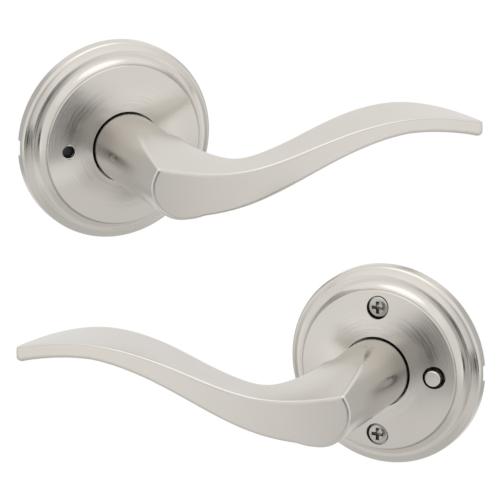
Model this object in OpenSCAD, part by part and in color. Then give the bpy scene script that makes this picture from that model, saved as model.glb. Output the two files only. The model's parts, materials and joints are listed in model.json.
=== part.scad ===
// Privacy lever set for an interior door, in millimetres.
//
// Two trim halves, each a pressed rose on a backplate with a sprung lever: the outside half carries
// the spindle, the posts and the emergency release hole, and the inside half carries the mounting
// screws and the lock button. Both halves are made in the same half frame: the spindle axis is Z,
// z = 0 is the face of the door, +Z points away from the door, +Y is up and +X is the way the lever
// points. The inside half is the mirror image of the outside one. place_outside() and
// place_inside() then stand them in the part's own frame, +Z up, with the origin at the centre of
// the inside half's door face.

/* [Rose] */
// Diameter of each rose
rose_d = 70; // [66:1:90]
// Height of the rim's outer wall
rim_h = 4.6; // [4.2:0.1:5.6]
// Width of the sloping face between the rim's edge and the foot of the cove
rim_face_w = 3.2; // [2.5:0.1:4]
// Height of the foot of the cove
cove_foot_h = 6; // [5.8:0.1:7]
// Width of the cove that steps up to the dome
cove_w = 3.6; // [2.5:0.1:4.5]
// Height of the dome at its outer edge
dome_edge_h = 10.6; // [10:0.1:12]
// Height of the rose at the neck hole
rose_h = 13.3; // [13.1:0.1:15]
// How far the dome bulges above a straight cone
dome_bulge = 0.5; // [0:0.1:1]
// Thickness of the pressed wall
rose_wall = 1.2; // [0.8:0.1:1.4]
// Width of the pry notch in the back edge
notch_w = 5.4; // [4:0.2:8]
// Depth of the pry notch from the back edge
notch_h = 1.8; // [1:0.1:2.4]

/* [Lever] */
// Distance from the spindle axis to the lever's tip
lever_len = 112.4; // [95:0.1:140]
// Distance from the door to the most forward point of the lever
projection = 67.5; // [60:0.5:82]
// Diameter of the round neck
neck_d = 24; // [23:0.5:26]
// Height of the front face at the neck
hub_face_h = 16.2; // [15:0.1:18]
// Height of the front face from the crest to the tip
tip_face_h = 5.2; // [4.5:0.1:7]
// Height of the wave's middle line above the spindle axis
wave_mid = 8.8; // [7:0.1:10]
// Half the height of the wave, from its dip to its crest
wave_amp = 5.8; // [4:0.1:7]
// How much fuller than a plain wave the rise between dip and crest is
wave_bow = 0.7; // [0:0.1:1.5]
// Distance of the wave's dip from the spindle axis
dip_x = 18; // [14:1:24]
// Distance of the wave's crest from the spindle axis
crest_x = 84; // [70:1:92]
// Depth of the blade, front to back, where it leaves the neck
blade_depth = 17.2; // [14:0.2:20]
// Greatest depth of the blade, near the crest
paddle_depth = 24.2; // [20:0.2:28]
// Radius of the web between neck and blade, seen from above
web_r = 18; // [12:1:20]
// Rounding of the blade's front edges
edge_r = 0.8; // [0.4:0.1:1.2]
// Rise of the neck's top facet for each millimetre back from the front face
facet_slope = 0.17; // [0.1:0.01:0.22]

/* [Bearing and return spring] */
// Outside diameter of the drive sleeve that the lever slides over
sleeve_d = 16; // [14:0.5:16]
// Length of the drive sleeve inside the lever, from the neck's end
sleeve_reach = 28; // [24:1:34]
// Wall of the drive sleeve around the catch
sleeve_wall = 1.8; // [1.4:0.1:2.2]
// Wall of the bushing that the sleeve turns in
bushing_wall = 1.5; // [1:0.1:1.6]
// Radial running clearance of sleeve and bushing
run_fit = 0.05; // [0.02:0.01:0.1]
// Wire diameter of the return spring
spring_wire = 1; // [0.8:0.1:1.2]
// Radius of the return spring's coil, at the middle of the wire
spring_r = 10.6; // [10.4:0.1:10.9]
// Inside radius of the spring cage
cage_r = 14.2; // [14:0.1:14.8]
// Thickness of the backplate
plate_t = 2; // [1.6:0.1:2.4]
// Turn of the lever each way from level, in degrees
lever_turn = 45; // [30:1:55]

/* [Door fixing] */
// Distance between the two mounting screws
screw_spacing = 45.2; // [44:0.2:50]
// Diameter of the mounting screws' thread
screw_d = 4; // [3.5:0.1:4.5]
// Diameter of the screws' heads
screw_head_d = 7.3; // [6.8:0.1:8]
// Reach of the screws behind the inside half's door face
screw_reach = 25; // [22:1:34]
// Diameter of the threaded posts
post_d = 6.4; // [6:0.1:7.6]
// Length of the posts behind the outside half's door face
post_len = 22; // [16:1:26]
// Side of the square spindle
spindle_w = 7; // [6:0.1:7.6]
// Reach of the spindle behind the outside half's door face
spindle_reach = 54; // [46:1:60]
// Thickness of the door in the installed layout
door_t = 40; // [35:1:42]

/* [Privacy lock] */
// Distance of the lock's axis from the spindle axis
lock_x = 21; // [20.6:0.1:23]
// Diameter of the button's cap
button_cap_d = 5.6; // [4.6:0.1:6]
// Diameter of the button's body
button_d = 6.6; // [6:0.1:7]
// How far the button stands out of the dome
button_proud = 1.6; // [1:0.1:2.5]
// Travel of the button
button_travel = 2.5; // [2:0.1:2.6]
// Diameter of the lock rod
lock_rod_d = 3.3; // [2.8:0.1:3.6]
// Reach of the lock rod behind the inside half's door face
lock_rod_reach = 27; // [20:1:30]
// Diameter of the emergency release hole
release_d = 4.3; // [3:0.1:4.6]

/* [Lever catch] */
// Diameter of the catch pin that holds the lever on its sleeve
catch_d = 2.8; // [2.2:0.1:3.2]
// Height of the outside catch above the door
outside_catch_z = 30; // [22:0.5:31]
// Direction of the outside catch around the neck, from the lever's own direction
outside_catch_turn = 172; // [150:1:200]
// Height of the inside catch above the door
inside_catch_z = 24; // [22:0.5:31]
// Direction of the inside catch around the neck, from the lever's own direction
inside_catch_turn = 98; // [80:1:120]

/* [Layout] */
// Displayed side by side, or installed back to back on a door
layout = "displayed"; // [displayed, installed]
// Turn of the displayed outside half about the vertical
display_turn = 45; // [0:5:90]
// Place of the displayed outside half's door face
display_at = [-120.5, 40, 56.2];

/* [Hidden] */
$fn = 64;

// Finishes, as colours
SATIN = [0.78, 0.77, 0.74];
PLATED = [0.72, 0.73, 0.75];
SPRING = [0.45, 0.45, 0.47];
BRONZE = [0.72, 0.53, 0.30];
NYLON = [0.92, 0.91, 0.87];

// Clearances
eps = 0.01;
big = 400;
slip = 0.05;            // between pieces that slide into each other and stay
face_gap = 0.05;        // between flat faces that rub
free_gap = 0.3;         // between pieces that move past each other
neck_gap = 0.55;        // radial, between neck and rose
button_gap = 0.65;      // radial, between button and rose
head_gap = 0.35;        // radial, between screw head and rose

// Rose
rose_r = rose_d / 2;
foot_r = rose_r - rim_face_w;
dome_r = foot_r - cove_w;
neck_r = neck_d / 2;
neck_hole_r = neck_r + neck_gap;
rim_round = 0.9;
rim_lead = [0.6, 0.1];  // last point of the sloping face before the cove: out, down
snap_lip = 0.2;
snap_z = [0.8, 2.1];

// Lever
tip_blunt = 0.985;      // share of its end ellipse that the blade runs to
crown = [35, 44];       // where the front face stands furthest forward, and its reach to the neck
front_drop = [1.2, 3.5];  // how far the front face falls back at the neck, and at the tip
face_fade = 1.25;       // how quickly the front face narrows along the blade
facet_end = 32;         // where the top facet has died out
back_r = 4;             // rounding of the blade's back edge
web_round = 0.8;        // how much the web adds to that rounding
under = [30, 0.45, 1.2];  // underside: run-in, rise towards the back, hollow

// Stack of the bearing, from the door outwards
washer_t = 0.5;
driver_t = 1.6;
roof_t = 1.3;
flange_t = 0.6;
washer_z = plate_t + face_gap;
driver_z = washer_z + washer_t + face_gap;
driver_top = driver_z + driver_t;
coil_z = driver_top + free_gap;
coil_turns = 1.95;
coil_pitch = spring_wire * 1.1;
coil_h = spring_wire + coil_turns * coil_pitch;
roof_z = coil_z + coil_h + free_gap;
roof_top = roof_z + roof_t;
flange_top = roof_top + flange_t;
neck_z = flange_top + free_gap;

// Sleeve, its stepped end and what is on it
sleeve_r = sleeve_d / 2;
sleeve_top = neck_z + sleeve_reach;
sleeve_in_r = sleeve_r - sleeve_wall;
bushing_r = sleeve_r + run_fit + bushing_wall;
flange_r = bushing_r + 1.6;
step_r = sleeve_r - 1;
step_flat = step_r - 1;
step_z = 0.6;
groove_r = step_r - 0.8;
clip_t = 0.7;
clip_z = driver_z - face_gap - clip_t;
clip_r = step_r + 2.4;
plate_hole_r = clip_r + 1.7;
socket_w = spindle_w + 2 * 0.1;
socket_top = 12;
key_w = 4;
key_z = sleeve_top - 8;

// Return spring, its driver and its cage
cage_wall = 1.2;
tab_w = 3;
tab_t = 1;
tab_r = [cage_r - free_gap - tab_t, cage_r - free_gap];
anchor_r = [spring_r + spring_wire / 2 + 0.6, tab_r[0] - free_gap];
driver_r = spring_r + spring_wire / 2 + 0.9;
stop_turn = lever_turn + 1 + 2 * atan(tab_w / 2 / tab_r[0]);
ear_r = 2.8;
ear_at = cage_r + cage_wall + 3;
ear_t = 1.2;
rivet_r = 1.5;
rivet_head = [1, 0.4, 0.9];  // rivet head: how much wider below, how much wider above, height

// Screws and posts
screw_y = screw_spacing / 2;
screw_r = screw_d / 2;
head_r = screw_head_d / 2;
head_t = 2.3;
head_top = dome_z(screw_y) - 0.1;
shank_r = screw_r - 0.2;   // above the thread, inside the standoff
thread_top = 0;            // where the thread ends, from the door
point_h = 0.6;
crown_h = 0.7;
crown_in = 0.9;
recess = [4.4, 1.2, 1.6];  // cross recess: length from arm to arm, width, depth
standoff_r = [screw_r + 0.2, screw_r + 2];
standoff_top = head_top - head_t - slip;

// Lock
button_top = dome_z(lock_x) + button_proud;
shoulder_z = dome_z(lock_x) - 2.8;
shoulder_h = 0.5;
button_flange_t = 1.3;
button_flange_r = button_d / 2 + 1.3;
lock_coil_wire = 0.5;
lock_coil_turns = 2.5;
button_flange_z = plate_t + 4;
guide_r = [button_flange_r + 0.15, button_flange_r + 0.85];
guide_top = button_flange_z + button_flange_t + 2.2;
release_wall = 1.4;
rod_r = lock_rod_d / 2;
rod_clip_t = 0.6;

// Catch
catch_r = catch_d / 2;
catch_head_r = 2.6;
catch_head = [3.2, 5.2];
catch_tip = neck_r - 0.3;
catch_wire = 0.45;
catch_travel = catch_tip - sleeve_r + 0.1;

// ---------------------------------------------------------------- shapes of the visible surfaces

function smooth(t) = let (u = min(1, max(0, t))) u * u * (3 - 2 * u);

// Height of the rose's dome at radius r
function dome_z(r) =
  let (t = (dome_r - r) / (dome_r - neck_hole_r))
  dome_edge_h + (rose_h - dome_edge_h) * t + dome_bulge * sin(180 * t);

// Half section of the rose's outer skin, from its back edge to the neck hole, as [r, z]
function rose_skin() = concat(
  [[rose_r, 0]],
  [for (a = [0:30:60]) [rose_r - rim_round * (1 - cos(a)), rim_h - rim_round * (1 - sin(a))]],
  [[foot_r + rim_lead[0], cove_foot_h - rim_lead[1]]],
  [for (a = [0:15:90])
    [foot_r - cove_w * sin(a), cove_foot_h + (dome_edge_h - cove_foot_h) * (1 - cos(a))]],
  [for (k = [1:8]) let (r = dome_r + (neck_hole_r - dome_r) * k / 8) [r, dome_z(r)]]
);

// Height of the crease, the lever's front top edge
function crease_y(x) =
  let (p = (x - dip_x) / (crest_x - dip_x), inside = p > 0 && p < 1)
  wave_mid - wave_amp * cos(180 * p) + (inside ? wave_bow * pow(sin(180 * p), 2) : 0);

// Height of the lever's front face
function face_h(x) =
  tip_face_h + (hub_face_h - tip_face_h) * pow(max(0, (crest_x - max(x, 0)) / crest_x), face_fade);

// Height above the door of the front face, which is crowned along its length
function front_z(x) =
  x < crown[0] ? projection - front_drop[0] * pow((crown[0] - x) / crown[1], 2)
               : projection - front_drop[1] * pow((x - crown[0]) / (lever_len - crown[0]), 2);

// How far the web between neck and blade reaches behind the blade
web_end = neck_r + web_r;
function web(x) =
  x < web_end ? web_r - sqrt(web_r * web_r - pow(web_end - max(x, neck_r), 2)) : 0;

// Depth of the blade from its front face: a web at the neck, a paddle, and a rounded end
function depth(x) =
  let (
    grow = blade_depth + (paddle_depth - blade_depth) * smooth((x - web_end) / (crest_x - web_end)),
    end = x > crest_x ? sqrt(1 - pow(tip_blunt * (x - crest_x) / (lever_len - crest_x), 2)) : 1
  )
  grow * end + web(x);

// Height of the lever's top, and of its underside, at x and at z above the door
function top_y(x, z) = crease_y(x) + facet_slope * (1 - smooth(x / facet_end)) * (front_z(x) - z);
function under_y(x, z) =
  let (t = (front_z(x) - z) / depth(x), out = smooth((x - neck_r) / under[0]))
  crease_y(x) - face_h(x) + out * (under[1] * face_h(x) * t * t - under[2] * sin(180 * min(1, t)));

// Section of the blade at x: front edge, top, rounded back and underside
function blade_loop(x) =
  let (
    zf = front_z(x), d = depth(x), e = min(edge_r, d / 4),
    rb = min(back_r + web(x) * web_round, d / 2), zb = zf - d + rb
  )
  concat(
    [[x, top_y(x, zf) - e, zf]],
    [for (k = [0:3]) let (z = zf - e - (d - rb - e) * k / 4) [x, top_y(x, z), z]],
    [for (a = [0:30:180])
      let (hi = top_y(x, zb), lo = under_y(x, zb))
      [x, (hi + lo) / 2 + (hi - lo) / 2 * cos(a), zb - rb * sin(a)]],
    [for (k = [3:-1:0]) let (z = zf - e - (d - rb - e) * k / 4) [x, under_y(x, z), z]],
    [[x, under_y(x, zf) + e, zf]]
  );

// Where the blade's sections stand: closer together on the web and towards the tip
function blade_stations() = concat(
  [-2, 3, 8],
  [for (k = [0:5]) neck_r + web_r * k / 6],
  [for (k = [0:9]) neck_r + web_r + (crest_x - neck_r - web_r) * k / 9],
  [for (a = [15:15:75]) crest_x + (lever_len - crest_x) * sin(a)],
  [crest_x + (lever_len - crest_x) * sin(83), lever_len]
);

// A skin over a row of loops of equal length, closed at both ends
module skin(loops) {
  n = len(loops[0]);
  rows = len(loops);
  faces = concat(
    [[for (k = [n - 1:-1:0]) k]],
    [for (j = [0:rows - 2], k = [0:n - 1]) [j * n + k, j * n + (k + 1) % n, (j + 1) * n + k]],
    [for (j = [0:rows - 2], k = [0:n - 1])
      [(j + 1) * n + k, j * n + (k + 1) % n, (j + 1) * n + (k + 1) % n]],
    [[for (k = [0:n - 1]) (rows - 1) * n + k]]
  );
  polyhedron(points = [for (row = loops, p = row) p], faces = faces, convexity = 6);
}

function unit(v) = v / norm(v);

// A wire of the given radius along a path that never runs straight up
module wire(path, r, sides = 6) {
  last = len(path) - 1;
  skin([for (i = [0:last])
    let (
      t = unit(path[min(i + 1, last)] - path[max(i - 1, 0)]),
      across = unit(cross(t, [0, 0, 1])),
      over = cross(across, t)
    )
    [for (k = [0:sides - 1])
      let (a = 360 * k / sides + 180 / sides)
      path[i] + r * (across * cos(a) + over * sin(a))]]);
}

// A compression spring standing on z = 0, h tall
module coil_spring(r, h, w, turns, steps = 10) {
  wire([for (i = [0:turns * steps])
    let (t = i / (turns * steps))
    [r * cos(360 * turns * t), r * sin(360 * turns * t), w / 2 + (h - w) * t]], w / 2, 5);
}

// ---------------------------------------------------------------- pieces that both halves have

module ring(r_out, r_in, z, h) {
  translate([0, 0, z]) difference() {
    cylinder(r = r_out, h = h);
    translate([0, 0, -1]) cylinder(r = r_in, h = h + 2);
  }
}

module hole(r, at) {
  translate([at[0], at[1], -big / 2]) cylinder(r = r, h = big);
}

// Pressed cover: the skin and a wall inside it, a snap groove for the backplate, a pry notch
module rose_shell() {
  outer = rose_skin();
  inner = [for (p = outer) if (p[0] - rose_wall > neck_hole_r) [p[0] - rose_wall, p[1] - rose_wall]];
  lip = inner[len(inner) - 1];
  color(SATIN) difference() {
    rotate_extrude($fn = 96) polygon(concat(
      outer,
      [[neck_hole_r, rose_h - rose_wall], lip],
      [for (k = [len(inner) - 2:-1:1]) inner[k]],
      [[rose_r - rose_wall, 0]]
    ));
    ring(rose_r - rose_wall + snap_lip + slip, 1, snap_z[0], snap_z[1] - snap_z[0]);
    translate([-rose_r - 1, -notch_w / 2, -1]) cube([3.4, notch_w, notch_h + 1]);
  }
}

// Stamped plate that snaps into the rose and lies on the door
module plate_blank() {
  difference() {
    union() {
      cylinder(r = rose_r - rose_wall - snap_lip, h = plate_t, $fn = 96);
      translate([0, 0, snap_z[0] + slip])
        cylinder(r = rose_r - rose_wall + snap_lip, h = snap_z[1] - snap_z[0] - 4 * slip, $fn = 96);
    }
    hole(plate_hole_r, [0, 0]);
    for (a = [45:90:315]) rotate(a) hole(rivet_r + slip, [ear_at, 0]);
  }
}

// Cup over the return spring, with its anchor tab and the two stops of the lever's turn
module spring_cage() {
  color(PLATED) difference() {
    union() {
      ring(cage_r + cage_wall, cage_r, plate_t, roof_z - plate_t + eps);
      ring(cage_r + cage_wall, bushing_r + slip, roof_z, roof_t);
      translate([-tab_w / 2, -anchor_r[1], coil_z])
        cube([tab_w, anchor_r[1] - anchor_r[0], roof_z - coil_z + eps]);
      for (s = [-1, 1]) rotate(-90 + s * stop_turn)
        translate([tab_r[0], -tab_w / 2, driver_z])
        cube([cage_r - tab_r[0] + cage_wall / 2, tab_w, roof_z - driver_z + eps]);
      for (a = [45:90:315]) rotate(a) {
        translate([cage_r + cage_wall / 2, -ear_r, plate_t])
          cube([ear_at - cage_r - cage_wall / 2, 2 * ear_r, ear_t]);
        translate([ear_at, 0, plate_t]) cylinder(r = ear_r, h = ear_t);
      }
    }
    for (a = [45:90:315]) rotate(a) hole(rivet_r + slip, [ear_at, 0]);
  }
}

module cage_rivets() {
  color(PLATED) for (a = [45:90:315]) rotate(a) translate([ear_at, 0, 0]) {
    cylinder(r = rivet_r, h = plate_t + ear_t + eps);
    translate([0, 0, plate_t + ear_t])
      cylinder(r1 = rivet_r + rivet_head[0], r2 = rivet_r + rivet_head[1], h = rivet_head[2]);
  }
}

module bushing() {
  color(BRONZE) difference() {
    union() {
      translate([0, 0, driver_top + free_gap])
        cylinder(r = bushing_r, h = flange_top - driver_top - free_gap);
      translate([0, 0, roof_top]) cylinder(r = flange_r, h = flange_t);
    }
    hole(sleeve_r + run_fit, [0, 0]);
  }
}

module thrust_washer() {
  color(NYLON) ring(driver_r + 1, plate_hole_r + 0.2, washer_z, washer_t);
}

// Torsion spring: its two legs straddle the anchor tab and the driver's tab
module return_spring() {
  leg_x = tab_w / 2 + spring_wire / 2 + 0.1;
  lean = asin(leg_x / spring_r);
  low = coil_z + spring_wire / 2;
  sweep = 360 * 2 - 2 * lean;
  steps = 40;
  color(SPRING) wire(concat(
    [[-leg_x, -tab_r[1] + 0.2, low], [-leg_x, -spring_r - 1.2, low]],
    [for (i = [0:steps])
      let (a = -90 - lean - sweep * i / steps)
      [spring_r * cos(a), spring_r * sin(a), low + coil_turns * coil_pitch * i / steps]],
    [[leg_x, -spring_r - 1.2, low + coil_turns * coil_pitch],
     [leg_x, -tab_r[1] + 0.2, low + coil_turns * coil_pitch]]
  ), spring_wire / 2);
}

// The sleeve's end and the hole that fits over it have two flats
module double_d(r, flat, z, h) {
  intersection() {
    translate([0, 0, z]) cylinder(r = r, h = h);
    translate([-big / 2, -flat, z - 1]) cube([big, 2 * flat, h + 2]);
  }
}

module spring_driver() {
  color(PLATED) difference() {
    union() {
      translate([0, 0, driver_z]) cylinder(r = driver_r, h = driver_t);
      translate([-tab_w / 2, -tab_r[1], driver_z]) cube([tab_w, tab_r[1] - step_r - 1, driver_t]);
      translate([-tab_w / 2, -tab_r[1], driver_z])
        cube([tab_w, tab_r[1] - tab_r[0], roof_z - free_gap - driver_z]);
    }
    double_d(step_r + slip, step_flat + slip, driver_z - 1, driver_t + 2);
  }
}

// Radial cylinder at height z that leaves the axis in direction turn
module radial(turn, z, r, from, to) {
  translate([0, 0, z]) rotate([0, 0, turn]) rotate([0, 90, 0]) translate([0, 0, from])
    cylinder(r = r, h = to - from, $fn = 32);
}

module drive_sleeve(turn, z) {
  color(PLATED) difference() {
    union() {
      translate([0, 0, driver_top]) cylinder(r = sleeve_r, h = sleeve_top - driver_top);
      double_d(step_r, step_flat, step_z, driver_top - step_z + eps);
    }
    ring(step_r + 1, groove_r, clip_z - slip, clip_t + 2 * slip);
    translate([-socket_w / 2, -socket_w / 2, -1]) cube([socket_w, socket_w, socket_top + 1 + eps]);
    translate([0, 0, socket_top]) cylinder(r = sleeve_in_r, h = big);
    translate([-key_w / 2, -big, key_z]) cube([key_w, big, big]);
    radial(turn, z, catch_r + slip, 1, big);
  }
}

module circlip() {
  color(SPRING) difference() {
    ring(clip_r, groove_r + slip, clip_z, clip_t);
    translate([0, 0, clip_z - 1]) rotate(60) cube([big, big, clip_t + 2]);
  }
}

// Cast lever: a round neck whose top is faced down to the crease, and the wave-shaped blade
module lever(turn, z) {
  neck_top = front_z(-neck_r);
  color(SATIN) difference() {
    union() {
      difference() {
        translate([0, 0, neck_z]) cylinder(r = neck_r, h = neck_top - neck_z, $fn = 96);
        neck_facet(neck_top);
      }
      skin([for (x = blade_stations()) blade_loop(x)]);
      translate([-key_w / 2 + slip, -sleeve_r - 1, key_z + free_gap])
        cube([key_w - 2 * slip, sleeve_r + 1 - sleeve_in_r, sleeve_top - key_z]);
    }
    difference() {
      translate([0, 0, -1]) cylinder(r = sleeve_r + slip, h = sleeve_top + free_gap + 1);
      translate([-key_w / 2 + slip, -sleeve_r - 1, key_z + free_gap])
        cube([key_w - 2 * slip, sleeve_r + 1 - sleeve_in_r, big]);
    }
    radial(turn, z, catch_r + slip, 1, neck_r + 5);
  }
}

// Block that faces the neck down: it slopes back at facet_slope and falls towards the blade
module neck_facet(neck_top) {
  fall = 14;
  translate([0, crease_y(0) - 0.4, neck_top]) rotate([0, 0, -fall])
    rotate([atan(facet_slope), 0, 0]) translate([-big / 2, 0, -big / 2]) cube([big, big / 2, big]);
}

module lever_catch(turn, z) {
  color(PLATED) {
    radial(turn, z, catch_r, catch_head[1] - eps, catch_tip);
    radial(turn, z, catch_head_r, catch_head[0], catch_head[1]);
  }
}

module catch_spring(turn, z) {
  back = -sleeve_in_r + 0.8;
  color(SPRING) translate([0, 0, z]) rotate([0, 0, turn]) rotate([0, 90, 0]) translate([0, 0, back])
    coil_spring(1.8, catch_head[0] - slip - back, catch_wire, 6);
}

// ---------------------------------------------------------------- the outside half's own pieces

module outside_rose_piece() {
  color(SATIN) difference() {
    rose_shell();
    hole(release_d / 2, [-lock_x, 0]);
    translate([-lock_x, 0, dome_z(lock_x) - 0.35])
      cylinder(r1 = release_d / 2, r2 = release_d / 2 + 0.8, h = 0.8);
  }
}

module outside_backplate_piece() {
  color(PLATED) difference() {
    plate_blank();
    for (s = [-1, 1]) hole(screw_r + 0.4, [0, s * screw_y]);
    hole(release_d / 2, [-lock_x, 0]);
  }
}

// Threaded posts, riveted into the backplate; the thread is a plain bore at its nominal size
module posts() {
  color(PLATED) for (s = [-1, 1]) translate([0, s * screw_y, 0]) difference() {
    union() {
      translate([0, 0, -post_len]) cylinder(r = post_d / 2, h = post_len);
      cylinder(r = screw_r + 0.35, h = plate_t + eps);
      translate([0, 0, plate_t]) cylinder(r1 = screw_r + 1.4, r2 = screw_r + 0.8, h = 1);
    }
    translate([0, 0, -post_len - 1]) cylinder(r = screw_r + slip, h = post_len - 3);
  }
}

module release_guide() {
  top = dome_z(lock_x + release_d) - rose_wall - 0.4;
  color(NYLON) difference() {
    union() {
      translate([-lock_x, 0, plate_t]) cylinder(r = release_d / 2 + release_wall, h = top - plate_t);
      translate([-lock_x, 0, plate_t]) cylinder(r = release_d / 2 + release_wall + 1, h = 0.8);
    }
    hole(release_d / 2, [-lock_x, 0]);
  }
}

module spindle_bar() {
  color(PLATED) translate([-spindle_w / 2, -spindle_w / 2, -spindle_reach])
    cube([spindle_w, spindle_w, spindle_reach + socket_top - 0.5]);
}

// ---------------------------------------------------------------- the inside half's own pieces

module inside_rose_piece() {
  color(SATIN) difference() {
    rose_shell();
    for (s = [-1, 1]) hole(head_r + head_gap, [0, s * screw_y]);
    hole(button_d / 2 + button_gap, [-lock_x, 0]);
  }
}

// The inside backplate carries a standoff under each screw head
module inside_backplate_piece() {
  color(PLATED) difference() {
    union() {
      plate_blank();
      for (s = [-1, 1]) translate([0, s * screw_y, 0]) cylinder(r = standoff_r[1], h = standoff_top);
    }
    for (s = [-1, 1]) hole(standoff_r[0], [0, s * screw_y]);
    hole(rod_r + run_fit + slip, [-lock_x, 0]);
  }
}

// Machine screws with a low rounded head and a cross recess; the thread is a plain shank
module screws() {
  color(PLATED) for (s = [-1, 1]) translate([0, s * screw_y, 0]) difference() {
    union() {
      translate([0, 0, -screw_reach]) cylinder(r1 = screw_r - point_h, r2 = screw_r, h = point_h);
      translate([0, 0, -screw_reach + point_h - eps])
        cylinder(r = screw_r, h = screw_reach - point_h + thread_top + eps);
      translate([0, 0, thread_top - eps]) cylinder(r = shank_r, h = head_top - head_t - thread_top + 2 * eps);
      translate([0, 0, head_top - head_t]) cylinder(r = head_r, h = head_t - crown_h);
      translate([0, 0, head_top - crown_h - eps])
        cylinder(r1 = head_r, r2 = head_r - crown_in, h = crown_h + eps);
    }
    for (a = [0, 90]) rotate(a)
      translate([-recess[0] / 2, -recess[1] / 2, head_top - recess[2]])
      cube([recess[0], recess[1], 2 * recess[2]]);
  }
}

module button() {
  color(SATIN) translate([-lock_x, 0, 0]) {
    translate([0, 0, button_flange_z]) cylinder(r = button_flange_r, h = button_flange_t);
    translate([0, 0, button_flange_z + button_flange_t - eps])
      cylinder(r = button_d / 2, h = shoulder_z - button_flange_z - button_flange_t + eps);
    translate([0, 0, shoulder_z - eps])
      cylinder(r1 = button_d / 2, r2 = button_cap_d / 2, h = shoulder_h + eps);
    translate([0, 0, shoulder_z]) cylinder(r = button_cap_d / 2, h = button_top - shoulder_z);
  }
}

module rod() {
  groove_z = -free_gap - rod_clip_t - slip;
  color(PLATED) translate([-lock_x, 0, 0]) difference() {
    translate([0, 0, -lock_rod_reach]) cylinder(r = rod_r, h = lock_rod_reach + button_flange_z - face_gap);
    ring(rod_r + 1, rod_r - 0.4, groove_z, rod_clip_t + 2 * slip);
  }
}

module rod_clip() {
  color(SPRING) translate([-lock_x, 0, 0]) difference() {
    ring(rod_r + 1.7, rod_r - 0.4 + slip, -free_gap - rod_clip_t, rod_clip_t);
    translate([-0.9, 0, -5]) cube([1.8, 6, 6]);
  }
}

module button_spring() {
  color(SPRING) translate([-lock_x, 0, plate_t + face_gap])
    coil_spring(rod_r + 1, button_flange_z - plate_t - 2 * face_gap, lock_coil_wire, lock_coil_turns, 14);
}

module guide() {
  color(NYLON) difference() {
    translate([-lock_x, 0, plate_t]) cylinder(r = guide_r[1], h = guide_top - plate_t);
    translate([-lock_x, 0, plate_t - 1]) cylinder(r = guide_r[0], h = big);
    hole(cage_r + cage_wall + 0.1, [0, 0]);
  }
}

// ---------------------------------------------------------------- places of the two halves

module place_outside() {
  if (layout == "displayed")
    translate(display_at) rotate([0, 0, display_turn]) rotate([90, 0, 0]) children();
  else
    translate([0, door_t, 0]) rotate([0, 0, 180]) rotate([90, 0, 0]) children();
}

module place_inside() {
  rotate([90, 0, 0]) mirror([1, 0, 0]) children();
}

module outside_rose() { place_outside() outside_rose_piece(); }
module outside_backplate() { place_outside() outside_backplate_piece(); }
module outside_spring_cage() { place_outside() spring_cage(); }
module outside_cage_rivets() { place_outside() cage_rivets(); }
module outside_bushing() { place_outside() bushing(); }
module outside_thrust_washer() { place_outside() thrust_washer(); }
module outside_return_spring() { place_outside() return_spring(); }
module outside_spring_driver() { place_outside() spring_driver(); }
module outside_drive_sleeve() { place_outside() drive_sleeve(outside_catch_turn, outside_catch_z); }
module outside_circlip() { place_outside() circlip(); }
module outside_lever() { place_outside() lever(outside_catch_turn, outside_catch_z); }
module outside_lever_catch() { place_outside() lever_catch(outside_catch_turn, outside_catch_z); }
module outside_catch_spring() { place_outside() catch_spring(outside_catch_turn, outside_catch_z); }
module outside_mounting_posts() { place_outside() posts(); }
module outside_release_guide() { place_outside() release_guide(); }
module spindle() { place_outside() spindle_bar(); }
module inside_rose() { place_inside() inside_rose_piece(); }
module inside_backplate() { place_inside() inside_backplate_piece(); }
module inside_spring_cage() { place_inside() spring_cage(); }
module inside_cage_rivets() { place_inside() cage_rivets(); }
module inside_bushing() { place_inside() bushing(); }
module inside_thrust_washer() { place_inside() thrust_washer(); }
module inside_return_spring() { place_inside() return_spring(); }
module inside_spring_driver() { place_inside() spring_driver(); }
module inside_drive_sleeve() { place_inside() drive_sleeve(inside_catch_turn, inside_catch_z); }
module inside_circlip() { place_inside() circlip(); }
module inside_lever() { place_inside() lever(inside_catch_turn, inside_catch_z); }
module inside_lever_catch() { place_inside() lever_catch(inside_catch_turn, inside_catch_z); }
module inside_catch_spring() { place_inside() catch_spring(inside_catch_turn, inside_catch_z); }
module mounting_screws() { place_inside() screws(); }
module lock_button() { place_inside() button(); }
module lock_rod() { place_inside() rod(); }
module lock_rod_clip() { place_inside() rod_clip(); }
module lock_spring() { place_inside() button_spring(); }
module lock_guide() { place_inside() guide(); }

outside_rose();
outside_backplate();
outside_spring_cage();
outside_cage_rivets();
outside_bushing();
outside_thrust_washer();
outside_return_spring();
outside_spring_driver();
outside_drive_sleeve();
outside_circlip();
outside_lever();
outside_lever_catch();
outside_catch_spring();
outside_mounting_posts();
outside_release_guide();
spindle();
inside_rose();
inside_backplate();
inside_spring_cage();
inside_cage_rivets();
inside_bushing();
inside_thrust_washer();
inside_return_spring();
inside_spring_driver();
inside_drive_sleeve();
inside_circlip();
inside_lever();
inside_lever_catch();
inside_catch_spring();
mounting_screws();
lock_button();
lock_rod();
lock_rod_clip();
lock_spring();
lock_guide();
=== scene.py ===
"""Looks of a privacy door lever set in satin nickel: two trim halves, shown side by side.

Every piece is modelled in the half frame of the side it belongs to, in millimetres: z stands out of
the door, y is up and x is the way the lever points. HalfFrame then places it in the row frame.
"""

import json
import logging
import math
from dataclasses import dataclass
from enum import Enum
from typing import Any, Callable, Iterable, Sequence

import bpy
import numpy as np
from mathutils import Matrix, Vector


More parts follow.
